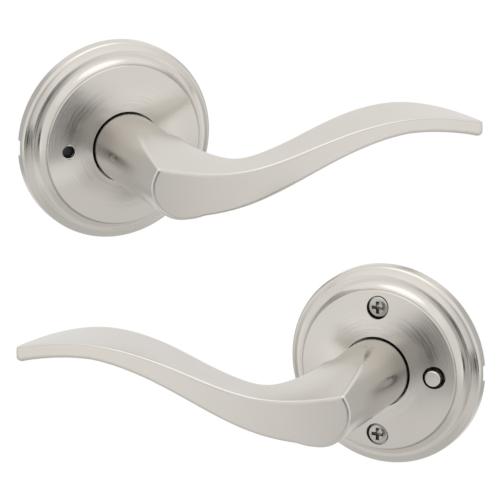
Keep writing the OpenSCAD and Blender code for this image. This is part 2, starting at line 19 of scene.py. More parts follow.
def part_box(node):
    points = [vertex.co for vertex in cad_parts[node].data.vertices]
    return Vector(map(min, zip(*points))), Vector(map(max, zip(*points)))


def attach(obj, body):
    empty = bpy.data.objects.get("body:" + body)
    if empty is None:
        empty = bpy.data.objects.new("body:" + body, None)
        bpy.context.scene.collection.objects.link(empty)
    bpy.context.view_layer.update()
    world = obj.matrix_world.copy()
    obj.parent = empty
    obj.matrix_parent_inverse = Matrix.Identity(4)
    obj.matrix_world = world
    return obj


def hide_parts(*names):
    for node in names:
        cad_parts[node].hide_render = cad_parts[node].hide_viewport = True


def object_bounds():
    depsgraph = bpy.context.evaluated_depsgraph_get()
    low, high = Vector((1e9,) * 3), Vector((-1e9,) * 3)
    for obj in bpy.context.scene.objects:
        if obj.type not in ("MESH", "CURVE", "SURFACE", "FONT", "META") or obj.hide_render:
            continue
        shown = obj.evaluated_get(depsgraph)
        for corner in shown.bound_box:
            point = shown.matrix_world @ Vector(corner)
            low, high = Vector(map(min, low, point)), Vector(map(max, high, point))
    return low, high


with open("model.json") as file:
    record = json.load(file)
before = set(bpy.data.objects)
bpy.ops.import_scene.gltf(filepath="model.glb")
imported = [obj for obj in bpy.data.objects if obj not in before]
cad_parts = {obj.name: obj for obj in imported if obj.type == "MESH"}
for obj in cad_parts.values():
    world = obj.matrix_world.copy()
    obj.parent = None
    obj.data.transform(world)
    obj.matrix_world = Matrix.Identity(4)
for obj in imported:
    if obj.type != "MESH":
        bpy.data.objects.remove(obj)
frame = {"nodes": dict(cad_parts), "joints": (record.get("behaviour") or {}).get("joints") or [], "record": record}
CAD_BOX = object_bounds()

LOG = logging.getLogger("lever_set")
MM = 0.001
Loop = list[tuple[float, float]]


# ------------------------------------------------------------------------------------ node building


class NodeBuilder:
    """Adds nodes to one tree, for a material, a world or a Geometry Nodes group."""

    def __init__(self, tree: bpy.types.NodeTree) -> None:
        """Keeps the tree that nodes go into.

        Args:
            tree: the node tree to fill.
        """
        self.tree = tree

    def add(self, kind: str, settings: dict[str, Any] | None = None,
            inputs: dict[int | str, Any] | None = None) -> bpy.types.Node:
        """Adds one node.

        Args:
            kind: the node's type name.
            settings: attributes that are set before the inputs.
            inputs: values or sockets by input name or index.

        Returns:
            The new node.
        """
        node = self.tree.nodes.new(kind)
        for key, value in (settings or {}).items():
            setattr(node, key, value)
        for key, value in (inputs or {}).items():
            target = node.inputs[key]
            if isinstance(value, Num):
                self.tree.links.new(value.socket, target)
            elif isinstance(value, bpy.types.NodeSocket):
                self.tree.links.new(value, target)
            else:
                target.default_value = value
        return node

    def num(self, socket: bpy.types.NodeSocket) -> "Num":
        """Wraps a number socket for arithmetic."""
        return Num(self, socket)


class Num:
    """A number socket whose arithmetic adds Math nodes."""

    def __init__(self, nodes: NodeBuilder, socket: bpy.types.NodeSocket) -> None:
        """Keeps the builder and the socket.

        Args:
            nodes: the builder of the tree that the socket is in.
            socket: an output that carries a number.
        """
        self.nodes = nodes
        self.socket = socket

    def _math(self, operation: str, *values: Any) -> "Num":
        """Adds a Math node on the given operands and returns its result."""
        node = self.nodes.add("ShaderNodeMath", {"operation": operation}, dict(enumerate(values)))
        return Num(self.nodes, node.outputs[0])

    def __add__(self, other: Any) -> "Num":
        """Sum."""
        return self._math("ADD", self, other)

    __radd__ = __add__

    def __sub__(self, other: Any) -> "Num":
        """Difference."""
        return self._math("SUBTRACT", self, other)

    def __rsub__(self, other: Any) -> "Num":
        """Difference, the other way round."""
        return self._math("SUBTRACT", other, self)

    def __mul__(self, other: Any) -> "Num":
        """Product."""
        return self._math("MULTIPLY", self, other)

    __rmul__ = __mul__

    def __truediv__(self, other: Any) -> "Num":
        """Quotient."""
        return self._math("DIVIDE", self, other)

    def __rtruediv__(self, other: Any) -> "Num":
        """Quotient, the other way round."""
        return self._math("DIVIDE", other, self)

    def __mod__(self, other: Any) -> "Num":
        """Remainder."""
        return self._math("MODULO", self, other)

    def floor(self) -> "Num":
        """Next whole number below."""
        return self._math("FLOOR", self)

    def sine(self) -> "Num":
        """Sine of an angle in radians."""
        return self._math("SINE", self)

    def cosine(self) -> "Num":
        """Cosine of an angle in radians."""
        return self._math("COSINE", self)

    def arcsine(self) -> "Num":
        """Angle in radians whose sine this is."""
        return self._math("ARCSINE", self)

    def angle_from(self, along: "Num") -> "Num":
        """Angle in radians of this side over the other one."""
        return self._math("ARCTAN2", self, along)

    def size(self) -> "Num":
        """The number without its sign."""
        return self._math("ABSOLUTE", self)

    def between(self, low: float, high: float) -> "Num":
        """Smooth step from 0 at low to 1 at high.

        Args:
            low: value that gives 0.
            high: value that gives 1.

        Returns:
            The stepped number.
        """
        node = self.nodes.add("ShaderNodeMapRange", {"interpolation_type": "SMOOTHSTEP"},
                              {0: self, 1: low, 2: high, 3: 0.0, 4: 1.0})
        return Num(self.nodes, node.outputs[0])


# ---------------------------------------------------------------------------------------- finishes


def new_material(name: str) -> tuple[bpy.types.Material, NodeBuilder]:
    """Makes a material with an empty node tree.

    Args:
        name: the material's name.

    Returns:
        The material, and the builder of its tree.
    """
    material = bpy.data.materials.new(name)
    material.use_nodes = True
    material.node_tree.nodes.clear()
    return material, NodeBuilder(material.node_tree)


def two_shades(nodes: NodeBuilder, share: Num, colour: Sequence[float], dark: float,
               light: float) -> bpy.types.NodeSocket:
    """Mixes a darker and a lighter shade of one colour.

    Args:
        nodes: the material's builder.
        share: 0 for the darker shade, 1 for the lighter one.
        colour: the colour between them.
        dark: what the colour is multiplied by for the darker shade.
        light: the same for the lighter one.

    Returns:
        The mixed colour.
    """
    return nodes.add("ShaderNodeMix", {"data_type": "RGBA"}, {
        0: share, 6: (*[c * dark for c in colour], 1.0),
        7: (*[min(1.0, c * light) for c in colour], 1.0)}).outputs[2]


class Brushing(Enum):
    """Which way a finish's fine lines run, with the lines' scale per metre in three directions.

    ALONG's directions are x, y and z, where z is the axis. ROUND's are the radius, z and x.
    """

    NONE = (0.0, 0.0, 0.0)
    ALONG = (5000.0, 5000.0, 120.0)
    ROUND = (4500.0, 1500.0, 60.0)


@dataclass(frozen=True)
class MetalFinish:
    """A metal surface: its colour, its sheen and the fine lines or grain it was left with."""

    name: str
    colour: tuple[float, float, float]
    roughness: float
    grain_mm: float = 0.12
    grain_depth: float = 0.15
    cloud: float = 0.03
    cloud_mm: float = 14.0
    brushing: Brushing = Brushing.NONE
    brush_depth: float = 0.0
    coat: float = 0.0
    coat_roughness: float = 0.25
    relief_mm: float = 0.02
    grain_sheen: float = 0.04

    def build(self, axis_to_z: Matrix | None = None) -> bpy.types.Material:
        """Makes the material.

        Args:
            axis_to_z: for lines along or round an axis, the turn and shift from the row frame to a
                frame whose z is that axis.

        Returns:
            The new material.
        """
        material, nodes = new_material(self.name)
        place = nodes.add("ShaderNodeTexCoord").outputs["Object"]
        if axis_to_z is not None:
            turn = axis_to_z.to_3x3().normalized().to_euler()
            place = nodes.add("ShaderNodeMapping", {"vector_type": "POINT"}, {
                "Vector": place, "Location": tuple(axis_to_z.to_translation()),
                "Rotation": tuple(turn)}).outputs[0]
        cloud = nodes.num(self._noise(nodes, place, 1 / (self.cloud_mm * MM), 3.0))
        grain = nodes.num(self._noise(nodes, place, 1 / (self.grain_mm * MM), 2.0))
        height = grain * self.grain_depth
        if self.brushing is not Brushing.NONE:
            height = height + self._lines(nodes, place) * self.brush_depth
        bump = nodes.add("ShaderNodeBump", None, {
            "Strength": 1.0, "Distance": self.relief_mm * MM, "Height": height})
        swing = (cloud - 0.5) * (2 * self.cloud)
        shader = nodes.add("ShaderNodeBsdfPrincipled", None, {
            "Base Color": two_shades(nodes, cloud.between(0.2, 0.8), self.colour,
                                     1 - self.cloud, 1 + self.cloud),
            "Metallic": 1.0,
            "Roughness": swing + (grain - 0.5) * self.grain_sheen + self.roughness,
            "Coat Weight": self.coat,
            "Coat Roughness": self.coat_roughness,
            "Normal": bump.outputs[0]})
        nodes.add("ShaderNodeOutputMaterial", None, {"Surface": shader.outputs[0]})
        return material

    @staticmethod
    def _noise(nodes: NodeBuilder, place: Any, scale: float, detail: float) -> bpy.types.NodeSocket:
        """Adds a noise texture and returns its factor."""
        return nodes.add("ShaderNodeTexNoise", {"noise_dimensions": "3D"}, {
            "Vector": place, "Scale": scale, "Detail": detail, "Roughness": 0.55}).outputs[0]

    def _lines(self, nodes: NodeBuilder, place: Any) -> Num:
        """Adds the fine brushed lines.

        Args:
            nodes: the material's builder.
            place: coordinates whose z is the axis that the lines follow.

        Returns:
            The lines' height, from 0 to 1.
        """
        parts = nodes.add("ShaderNodeSeparateXYZ", None, {0: place})
        x, y, z = (nodes.num(s) for s in parts.outputs)
        ways = (x, y, z)
        if self.brushing is Brushing.ROUND:
            flat = nodes.add("ShaderNodeCombineXYZ", None, {0: x, 1: y, 2: 0.0})
            radius = nodes.add("ShaderNodeVectorMath", {"operation": "LENGTH"}, {0: flat.outputs[0]})
            ways = (nodes.num(radius.outputs["Value"]), z, x)
        stretched = [way * scale for way, scale in zip(ways, self.brushing.value)]
        bent = nodes.add("ShaderNodeCombineXYZ", None, dict(enumerate(stretched)))
        return nodes.num(self._noise(nodes, bent.outputs[0], 1.0, 2.0))


@dataclass(frozen=True)
class PlasticFinish:
    """A moulded plastic surface with a fine moulded grain."""

    name: str
    colour: tuple[float, float, float]
    roughness: float
    grain_scale: float = 3500.0
    cloud_scale: float = 120.0
    shades: tuple[float, float] = (0.9, 1.08)
    relief: float = 0.6
    relief_mm: float = 0.03
    grain_sheen: float = 0.1

    def build(self) -> bpy.types.Material:
        """Makes the material and returns it."""
        material, nodes = new_material(self.name)
        place = nodes.add("ShaderNodeTexCoord").outputs["Object"]
        grain, cloud = (nodes.num(nodes.add("ShaderNodeTexNoise", None, {
            "Vector": place, "Scale": scale, "Detail": detail}).outputs[0])
            for scale, detail in ((self.grain_scale, 3.0), (self.cloud_scale, 2.0)))
        bump = nodes.add("ShaderNodeBump", None, {
            "Strength": self.relief, "Distance": self.relief_mm * MM, "Height": grain})
        shader = nodes.add("ShaderNodeBsdfPrincipled", None, {
            "Base Color": two_shades(nodes, cloud, self.colour, *self.shades),
            "Roughness": (grain - 0.5) * self.grain_sheen + self.roughness,
            "Normal": bump.outputs[0]})
        nodes.add("ShaderNodeOutputMaterial", None, {"Surface": shader.outputs[0]})
        return material


NICKEL_COLOUR = (0.66, 0.635, 0.595)
SATIN_CAST = MetalFinish("satin_nickel_lever", NICKEL_COLOUR, 0.20, brushing=Brushing.ALONG,
                         grain_depth=0.05, brush_depth=0.10, cloud=0.015)
SATIN_TURNED = MetalFinish("satin_nickel_rose", NICKEL_COLOUR, 0.17, brushing=Brushing.ROUND,
                           grain_depth=0.05, brush_depth=1.8, cloud=0.015)
BUTTON_NICKEL = MetalFinish("satin_nickel_button", (0.72, 0.70, 0.67), 0.30, grain_depth=0.5)
SCREW_NICKEL = MetalFinish("nickel_screw", (0.50, 0.485, 0.455), 0.22, grain_depth=0.4, cloud=0.06,
                           cloud_mm=2.0)
ZINC = MetalFinish("zinc_plate", (0.60, 0.62, 0.64), 0.34, grain_depth=0.5, cloud=0.09,
                   cloud_mm=5.0, coat=0.2)
SPRING_STEEL = MetalFinish("spring_steel", (0.30, 0.30, 0.31), 0.36, grain_depth=0.6, cloud=0.08)
BRONZE = MetalFinish("sintered_bronze", (0.58, 0.40, 0.21), 0.5, grain_mm=0.3, grain_depth=2.0,
                     cloud=0.10, cloud_mm=3.0)
NYLON = PlasticFinish("natural_nylon", (0.80, 0.79, 0.74), 0.5)
DARK_NYLON = PlasticFinish("black_nylon", (0.012, 0.012, 0.013), 0.55)


# ------------------------------------------------------------------------------------- half frames


class Half(Enum):
    """The two trim halves."""

    OUTSIDE = "outside"
    INSIDE = "inside"


@dataclass(frozen=True)
class HalfFrame:
    """Where one half stands in the row frame: its door face's centre and its three directions."""

    half: Half
    origin: Vector
    across: Vector
    up: Vector
    out: Vector

    @classmethod
    def from_joints(cls, half: Half, joints: Iterable[dict[str, Any]]) -> "HalfFrame":
        """Reads the half's place from its lever's hinge.

        Args:
            half: which half.
            joints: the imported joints.

        Returns:
            The half's frame. The inside half is the outside one's mirror image.
        """
        hinge = next(j for j in joints if j["name"] == f"{half.value}_lever_turn")
        out = Vector(hinge["axis"]).normalized()
        low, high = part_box(f"{half.value}_lever")
        if ((low + high) / 2 - Vector(hinge["pos_m"])).dot(out) < 0:
            out = -out
        up = Vector((0.0, 0.0, 1.0))
        across = up.cross(out).normalized()
        if half is Half.INSIDE:
            across = -across
        return cls(half, Vector(hinge["pos_m"]), across, up, out)

    @property
    def mirrored(self) -> bool:
        """True if placing turns faces inside out."""
        return self.across.cross(self.up).dot(self.out) < 0

    @property
    def matrix(self) -> Matrix:
        """From the half frame in millimetres to the row frame in metres."""
        turn = Matrix((self.across, self.up, self.out)).transposed() * MM
        return Matrix.Translation(self.origin) @ turn.to_4x4()

    def axis_to_z(self, lever: bool) -> Matrix:
        """From the row frame to one whose z is the spindle axis, or the lever's length.

        Args:
            lever: True for the lever's length.

        Returns:
            A turn and shift, with no mirroring.
        """
        z = self.across if lever else self.out
        x = self.up
        y = z.cross(x)
        turn = Matrix((x, y, z))
        return turn.to_4x4() @ Matrix.Translation(-self.origin)


# ------------------------------------------------------------------------------------ mesh helpers


@dataclass
class Piece:
    """One finished piece: its mesh in the half frame, and what it stands for."""

    name: str
    mesh: bpy.types.Mesh
    body: str
    replaces: tuple[str, ...]
    slot: str

    def show(self, where: HalfFrame, material: bpy.types.Material) -> bpy.types.Object:
        """Args:
            where: the half that the piece is on.
            material: its finish.

        Returns:
            The piece's object.
        """
        self.mesh.transform(where.matrix)
        if where.mirrored:
            self.mesh.flip_normals()
        self.mesh.materials.clear()
        self.mesh.materials.append(material)
        self.mesh.name = self.name
        made = bpy.data.objects.new(self.name, self.mesh)
        bpy.context.scene.collection.objects.link(made)
        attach(made, self.body)
        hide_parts(*self.replaces)
        LOG.info("%s: %d faces, rides on %s", self.name, len(self.mesh.polygons), self.body)
        return made


def plain_mesh(source: bpy.types.Object) -> bpy.types.Mesh:
    """Turns an object with live modifiers into a plain mesh, and removes the object.

    Args:
        source: the object.

    Returns:
        Its evaluated mesh.
    """
    bpy.context.view_layer.update()
    depsgraph = bpy.context.evaluated_depsgraph_get()
    mesh = bpy.data.meshes.new_from_object(source.evaluated_get(depsgraph), depsgraph=depsgraph)
    source.modifiers.clear()
    bpy.data.objects.remove(source)
    return mesh


def soften(mesh: bpy.types.Mesh, angle: float = 34.0) -> bpy.types.Mesh:
    """Shades a mesh smooth but for edges sharper than angle degrees, and returns it."""
    mesh.polygons.foreach_set("use_smooth", [True] * len(mesh.polygons))
    mesh.set_sharp_from_angle(angle=math.radians(angle))
    return mesh


def mesh_of(name: str, points: np.ndarray | Sequence[Sequence[float]],
            faces: Sequence[Sequence[int]], edges: Sequence[Sequence[int]] = ()) -> bpy.types.Mesh:
    """Makes a mesh from points, edges and faces, and returns it."""
    mesh = bpy.data.meshes.new(name)
    mesh.from_pydata([tuple(map(float, p)) for p in points], list(edges), [tuple(f) for f in faces])
    mesh.update()
    return mesh


def object_of(mesh: bpy.types.Mesh) -> bpy.types.Object:
    """Links a new object that holds the mesh, and returns it."""
    made = bpy.data.objects.new(mesh.name, mesh)
    bpy.context.scene.collection.objects.link(made)
    return made


def joined(*meshes: bpy.types.Mesh) -> bpy.types.Mesh:
    """Puts several meshes into one, and returns it.

    Args:
        meshes: what to join.

    Returns:
        The one mesh, named after the first.
    """
    points: list[Any] = []
    faces: list[Any] = []
    for mesh in meshes:
        start = len(points)
        points += [tuple(v.co) for v in mesh.vertices]
        faces += [[start + i for i in f.vertices] for f in mesh.polygons]
    return mesh_of(meshes[0].name, points, faces)


def cut(mesh: bpy.types.Mesh, cutter: bpy.types.Mesh) -> bpy.types.Mesh:
    """Takes the cutter's space out of a mesh.

    Args:
        mesh: a closed mesh.
        cutter: a closed mesh, which may have several shells.

    Returns:
        The difference.
    """
    body, tool = object_of(mesh), object_of(cutter)
    change = body.modifiers.new("cut", "BOOLEAN")
    change.operation, change.solver, change.object = "DIFFERENCE", "EXACT", tool
    made = plain_mesh(body)
    bpy.data.objects.remove(tool)
    return made


def grouped(name: str, inputs: Sequence[tuple[str, str, Any]]) -> tuple[NodeBuilder, dict[str, Any]]:
    """Starts a Geometry Nodes group with a geometry in and out.

    Args:
        name: the group's name.
        inputs: name, socket type and default of each further input.

    Returns:
        The group's builder, and its input sockets by name.
    """
    tree = bpy.data.node_groups.new(name, "GeometryNodeTree")
    face = tree.interface
    face.new_socket("Geometry", in_out="INPUT", socket_type="NodeSocketGeometry")
    for label, kind, default in inputs:
        made = face.new_socket(label, in_out="INPUT", socket_type=kind)
        if default is not None:
            made.default_value = default
    face.new_socket("Geometry", in_out="OUTPUT", socket_type="NodeSocketGeometry")
    nodes = NodeBuilder(tree)
    entry = nodes.add("NodeGroupInput")
    return nodes, {s.name: s for s in entry.outputs if s.name}


def close_group(nodes: NodeBuilder, geometry: Any, material: Any) -> bpy.types.NodeTree:
    """Ends a group in Realize Instances and Set Material, and returns its tree."""
    real = nodes.add("GeometryNodeRealizeInstances", None, {0: geometry})
    smooth = nodes.add("GeometryNodeSetShadeSmooth", None, {0: real.outputs[0]})
    dressed = nodes.add("GeometryNodeSetMaterial", None, {
        "Geometry": smooth.outputs[0], "Material": material})
    nodes.add("NodeGroupOutput", None, {0: dressed.outputs[0]})
    return nodes.tree


def run_group(tree: bpy.types.NodeTree, source: bpy.types.Mesh,
              values: dict[str, Any]) -> bpy.types.Mesh:
    """Runs a Geometry Nodes group on a mesh.

    Args:
        tree: the group.
        source: the mesh that goes in.
        values: the group's inputs by name.

    Returns:
        The resulting plain mesh.
    """
    holder = object_of(source)
    change = holder.modifiers.new("shape", "NODES")
    change.node_group = tree
    keys = {s.name: s.identifier for s in tree.interface.items_tree if s.in_out == "INPUT"}
    for label, value in values.items():
        change[keys[label]] = value
    return plain_mesh(holder)


class ShapeTrees:
    """The Geometry Nodes groups that the pieces are made with, each built once."""

    def __init__(self) -> None:
        """Builds the groups."""
        self.lathe = self._lathe()
        self.coil = self._coil()
        self.rod = self._rod()
        self.ring = self._ring()

    @staticmethod
    def _lathe() -> bpy.types.NodeTree:
        """Turns a row of points, x the radius and z the height, about z, and returns the group."""
        nodes, ins = grouped("lathe", [("Points", "NodeSocketInt", 2),
                                       ("Segments", "NodeSocketInt", 96),
                                       ("Material", "NodeSocketMaterial", None)])
        count, turns = nodes.num(ins["Points"]), nodes.num(ins["Segments"])
        grid = nodes.add("GeometryNodeMeshGrid", None, {
            "Vertices X": (turns + 1).socket, "Vertices Y": count})
        index = nodes.num(nodes.add("GeometryNodeInputIndex").outputs[0])
        row = (index / count + 0.0001).floor()
        column = index - row * count
        spot = nodes.add("GeometryNodeSampleIndex", {
            "data_type": "FLOAT_VECTOR", "domain": "POINT", "clamp": True}, {
            "Geometry": ins["Geometry"],
            "Value": nodes.add("GeometryNodeInputPosition").outputs[0], "Index": column})
        parts = nodes.add("ShaderNodeSeparateXYZ", None, {0: spot.outputs[0]})
        radius, height = nodes.num(parts.outputs[0]), nodes.num(parts.outputs[2])
        angle = (row % turns) * (2 * math.pi) / turns
        place = nodes.add("ShaderNodeCombineXYZ", None, {
            0: radius * angle.cosine(), 1: radius * angle.sine(), 2: height})
        moved = nodes.add("GeometryNodeSetPosition", None, {
            "Geometry": grid.outputs["Mesh"], "Position": place.outputs[0]})
        closed = nodes.add("GeometryNodeMergeByDistance", None, {
            "Geometry": moved.outputs[0], "Distance": 0.0002})
        return close_group(nodes, closed.outputs[0], ins["Material"])

    @staticmethod
    def _coil() -> bpy.types.NodeTree:
        """Makes a coil of wire that stands on z = 0, and returns the group."""
        nodes, ins = grouped("coil", [("Radius", "NodeSocketFloat", 2.0),
                                      ("Height", "NodeSocketFloat", 5.0),
                                      ("Turns", "NodeSocketFloat", 6.0),
                                      ("Wire", "NodeSocketFloat", 0.2),
                                      ("Sides", "NodeSocketInt", 10),
                                      ("Steps", "NodeSocketInt", 28),
                                      ("Material", "NodeSocketMaterial", None)])
        line = nodes.add("GeometryNodeCurveSpiral", None, {
            "Resolution": ins["Steps"], "Rotations": ins["Turns"], "Start Radius": ins["Radius"],
            "End Radius": ins["Radius"], "Height": ins["Height"]})
        return ShapeTrees._wire_along(nodes, line, ins)

    @staticmethod
    def _wire_along(nodes: NodeBuilder, line: bpy.types.Node,
                    ins: dict[str, Any]) -> bpy.types.NodeTree:
        """Lays a round wire along a curve and ends the group.

        Args:
            nodes: the group's builder.
            line: the node that gives the curve.
            ins: the group's inputs, with Sides, Wire and Material among them.

        Returns:
            The finished group.
        """
        rim = nodes.add("GeometryNodeCurvePrimitiveCircle", None, {
            "Resolution": ins["Sides"], "Radius": ins["Wire"]})
        tube = nodes.add("GeometryNodeCurveToMesh", None, {
            "Curve": line.outputs[0], "Profile Curve": rim.outputs[0], "Fill Caps": True})
        return close_group(nodes, tube.outputs[0], ins["Material"])

    @staticmethod
    def _rod() -> bpy.types.NodeTree:
        """Lays a round wire along a row of joined points, and returns the group."""
        nodes, ins = grouped("rod", [("Wire", "NodeSocketFloat", 0.5),
                                     ("Sides", "NodeSocketInt", 12),
                                     ("Material", "NodeSocketMaterial", None)])
        line = nodes.add("GeometryNodeMeshToCurve", None, {0: ins["Geometry"]})
        return ShapeTrees._wire_along(nodes, line, ins)

    @staticmethod
    def _ring() -> bpy.types.NodeTree:
        """Repeats a mesh round z, from a start angle, and returns the group."""
        nodes, ins = grouped("ring", [("Count", "NodeSocketInt", 4),
                                      ("Radius", "NodeSocketFloat", 10.0),
                                      ("Start", "NodeSocketFloat", 0.0),
                                      ("Material", "NodeSocketMaterial", None)])
        spots = nodes.add("GeometryNodeMeshLine", {"mode": "OFFSET"}, {
            "Count": ins["Count"], "Offset": (0.0, 0.0, 0.0)})
        index = nodes.num(nodes.add("GeometryNodeInputIndex").outputs[0])
        angle = index * (2 * math.pi) / nodes.num(ins["Count"]) + nodes.num(ins["Start"])
        radius = nodes.num(ins["Radius"])
        place = nodes.add("ShaderNodeCombineXYZ", None, {
            0: radius * angle.cosine(), 1: radius * angle.sine(), 2: 0.0})
        moved = nodes.add("GeometryNodeSetPosition", None, {
            "Geometry": spots.outputs[0], "Position": place.outputs[0]})
        copies = nodes.add("GeometryNodeInstanceOnPoints", None, {
            "Points": moved.outputs[0], "Instance": ins["Geometry"]})
        return close_group(nodes, copies.outputs[0], ins["Material"])


def turned(trees: ShapeTrees, name: str, path: Loop, segments: int = 96) -> bpy.types.Mesh:
    """Turns an open or closed path of (radius, height) into a closed mesh.

    Args:
        trees: the shared groups.
        name: the mesh's name.
        path: from the axis back to it, or a loop that ends where it starts.
        segments: how many steps make the round.

    Returns:
        The mesh, facing outwards.
    """
    points = [(r, 0.0, z) for r, z in path]
    line = mesh_of(name, points, [], [(i, i + 1) for i in range(len(points) - 1)])
    made = run_group(trees.lathe, line, {"Points": len(points), "Segments": segments})
    if signed_volume(made) < 0:
        made.flip_normals()
    return made


def signed_volume(mesh: bpy.types.Mesh) -> float:
    """Volume of a closed mesh, below zero if it is inside out.

    Args:
        mesh: the mesh.

    Returns:
        The volume.
    """
    mesh.calc_loop_triangles()
    points = np.array([v.co for v in mesh.vertices], float)
    corners = np.array([t.vertices for t in mesh.loop_triangles])
    a, b, c = (points[corners[:, k]] for k in range(3))
    return float(np.einsum("ij,ij->i", a, np.cross(b, c)).sum() / 6)


def eased(path: Loop, spread: float, step: float = 0.15) -> Loop:
    """Rounds the corners of a path: a walk along it in small steps, each averaged with its neighbours.

    Args:
        path: the path's corners.
        spread: how far the averaging reaches.
        step: the length of a step.

    Returns:
        The rounded path, with its ends kept.
    """
    corners = np.array(path, float)
    runs = np.linalg.norm(np.diff(corners, axis=0), axis=1)
    walked = np.concatenate([[0.0], np.cumsum(runs)])
    count = max(8, int(walked[-1] / step))
    at = np.linspace(0.0, walked[-1], count)
    dense = np.stack([np.interp(at, walked, corners[:, k]) for k in range(2)], 1)
    reach = max(1, int(3 * spread / step))
    weights = np.exp(-0.5 * (np.arange(-reach, reach + 1) * step / spread) ** 2)
    weights /= weights.sum()
    head, tail = 2 * dense[0] - dense[reach:0:-1], 2 * dense[-1] - dense[-2:-reach - 2:-1]
    padded = np.concatenate([head, dense, tail])
    out = np.stack([np.convolve(padded[:, k], weights, "valid") for k in range(2)], 1)
    return [tuple(p) for p in out]


def eased_to_axis(corners: Loop, spread: float, step: float) -> Loop:
    """Rounds a path that starts and ends on the axis, and puts both ends back on it.

    Args:
        corners: the path's corners.
        spread: how far the averaging reaches.
        step: the length of a step.

    Returns:
        The rounded path.
    """
    return [corners[0], *eased(corners, spread, step)[1:-1], corners[-1]]


@dataclass(frozen=True)
class Coil:
    """A coil of round wire that stands on z = 0."""

    radius: float
    height: float
    turns: float
    wire: float
    sides: int = 10
    steps: int = 28

    def build(self, trees: ShapeTrees) -> bpy.types.Mesh:
        """Winds the coil and returns its mesh."""
        return run_group(trees.coil, mesh_of("seed", [(0, 0, 0)], []), {
            "Radius": self.radius, "Height": self.height, "Turns": self.turns,
            "Wire": self.wire, "Sides": self.sides, "Steps": self.steps})


def step_up(t: np.ndarray) -> np.ndarray:
    """Smooth step from 0 to 1 as t goes from 0 to 1."""
    u = np.clip(t, 0.0, 1.0)
    return u * u * (3 - 2 * u)


# ---------------------------------------------------------------------------------------- the rose


@dataclass(frozen=True)
class Opening:
    """A round hole in the rose's dome."""

    x: float
    y: float
    radius: float
    lip: float


@dataclass
class Rose:
    """The stepped round cover that the lever stands in."""

    where: HalfFrame
    trees: ShapeTrees
    radius: float = 35.0
    rim_curve: tuple[tuple[float, float], ...] = ((0.0, 3.2), (0.16, 3.85), (0.62, 4.35), (1.2, 4.66))
    foot_r: float = 31.8
    foot_h: float = 6.0
    dome_r: float = 28.2
    dome_edge_h: float = 10.6
    top_h: float = 13.3
    bulge: float = 0.5
    hole_r: float = 12.55
    hole_lip: float = 0.5
    wall: float = 1.2
    rounding: float = 0.19
    notch_w: float = 5.4
    notch_h: float = 1.8
    notch_in: float = 2.4
    openings: tuple[Opening, ...] = ()

    def dome(self, r: float) -> float:
        """Height of the dome at radius r.

        Args:
            r: the radius.

        Returns:
            The height.
        """
        t = (self.dome_r - r) / (self.dome_r - self.hole_r)
        straight = self.dome_edge_h + (self.top_h - self.dome_edge_h) * t
        return straight + self.bulge * math.sin(math.pi * t)

    def skin(self) -> Loop:
        """The outer skin from the back edge to the neck hole, as (radius, height)."""
        cove_w, cove_h = self.foot_r - self.dome_r, self.dome_edge_h - self.foot_h
        turns = np.radians(np.linspace(0, 90, 25))
        rim = [(self.radius, 0.0), *[(self.radius - inset, z) for inset, z in self.rim_curve]]
        foot = [(self.foot_r + 0.75, self.foot_h - 0.34), (self.foot_r + 0.5, self.foot_h - 0.06)]
        cove = [(self.foot_r - cove_w * math.sin(a), self.foot_h + cove_h * (1 - math.cos(a)))
                for a in turns]
        dome = [(r, self.dome(r)) for r in np.linspace(self.dome_r, self.hole_r, 60)[1:]]
        return eased(rim + foot + cove + dome, self.rounding)

    def shell(self, name: str) -> bpy.types.Mesh:
        """Makes the pressed shell with its holes and its pry notch.

        Args:
            name: the mesh's name.

        Returns:
            The shell in the half frame.
        """
        outer = self.skin()
        lip = [(self.hole_r, self.top_h - self.hole_lip), (self.hole_r, self.top_h - self.wall)]
        inner = [(r - self.wall, z - self.wall) for r, z in outer[::6]
                 if r - self.wall > self.hole_r + 0.1 and z > self.wall + 0.2]
        loop = outer + lip + inner[::-1] + [(self.radius - self.wall, 0.0), outer[0]]
        shell = turned(self.trees, name, loop, 288)
        shell = cut(shell, joined(self._notch(), *[self._cutter(o) for o in self.openings]))
        return soften(shell, 30)

    def _notch(self) -> bpy.types.Mesh:
        """The block that cuts the pry notch."""
        x_ends = (-self.radius - 2, -self.radius + self.notch_in)
        y_ends = (-self.notch_w / 2, self.notch_w / 2)
        points = [(x, y, z) for x in x_ends for y in y_ends for z in (-1.0, self.notch_h)]
        faces = [(0, 1, 3, 2), (4, 6, 7, 5), (0, 4, 5, 1), (2, 3, 7, 6), (0, 2, 6, 4), (1, 5, 7, 3)]
        return mesh_of("notch", points, faces)

    def _cutter(self, hole: Opening) -> bpy.types.Mesh:
        """The round cutter of one hole, which flares to round the hole's lip.

        Args:
            hole: the hole.

        Returns:
            The cutter, sheared to lie square to the dome.
        """
        reach = math.hypot(hole.x, hole.y)
        top = self.dome(reach)
        slope = self.dome(reach + 0.5) - self.dome(reach - 0.5)
        foot, head = -3.0, top + 1.5
        flare = [(hole.radius + hole.lip * (1 - math.cos(a)), top - hole.lip * (1 - math.sin(a)) + 0.02)
                 for a in np.radians(np.linspace(0, 80, 9))]
        path = [(0.0, foot), (hole.radius, foot), *flare, (flare[-1][0] + 0.3, head), (0.0, head)]
        tool = turned(self.trees, "hole", path, 72)
        for v in tool.vertices:
            along = (v.co.x * hole.x + v.co.y * hole.y) / reach
            v.co.z += slope * along if v.co.z > 0 else 0.0
            v.co.x += hole.x
            v.co.y += hole.y
        return tool

    def build(self, material: bpy.types.Material) -> None:
        """Makes the rose and shows it."""
        side = self.where.half.value
        Piece(f"{side}_rose_shell", self.shell(f"{side}_rose_shell"), "base", (f"{side}_rose",),
              "satin_nickel").show(self.where, material)


# --------------------------------------------------------------------------------------- the lever


Field = Callable[[np.ndarray, np.ndarray, np.ndarray], np.ndarray]


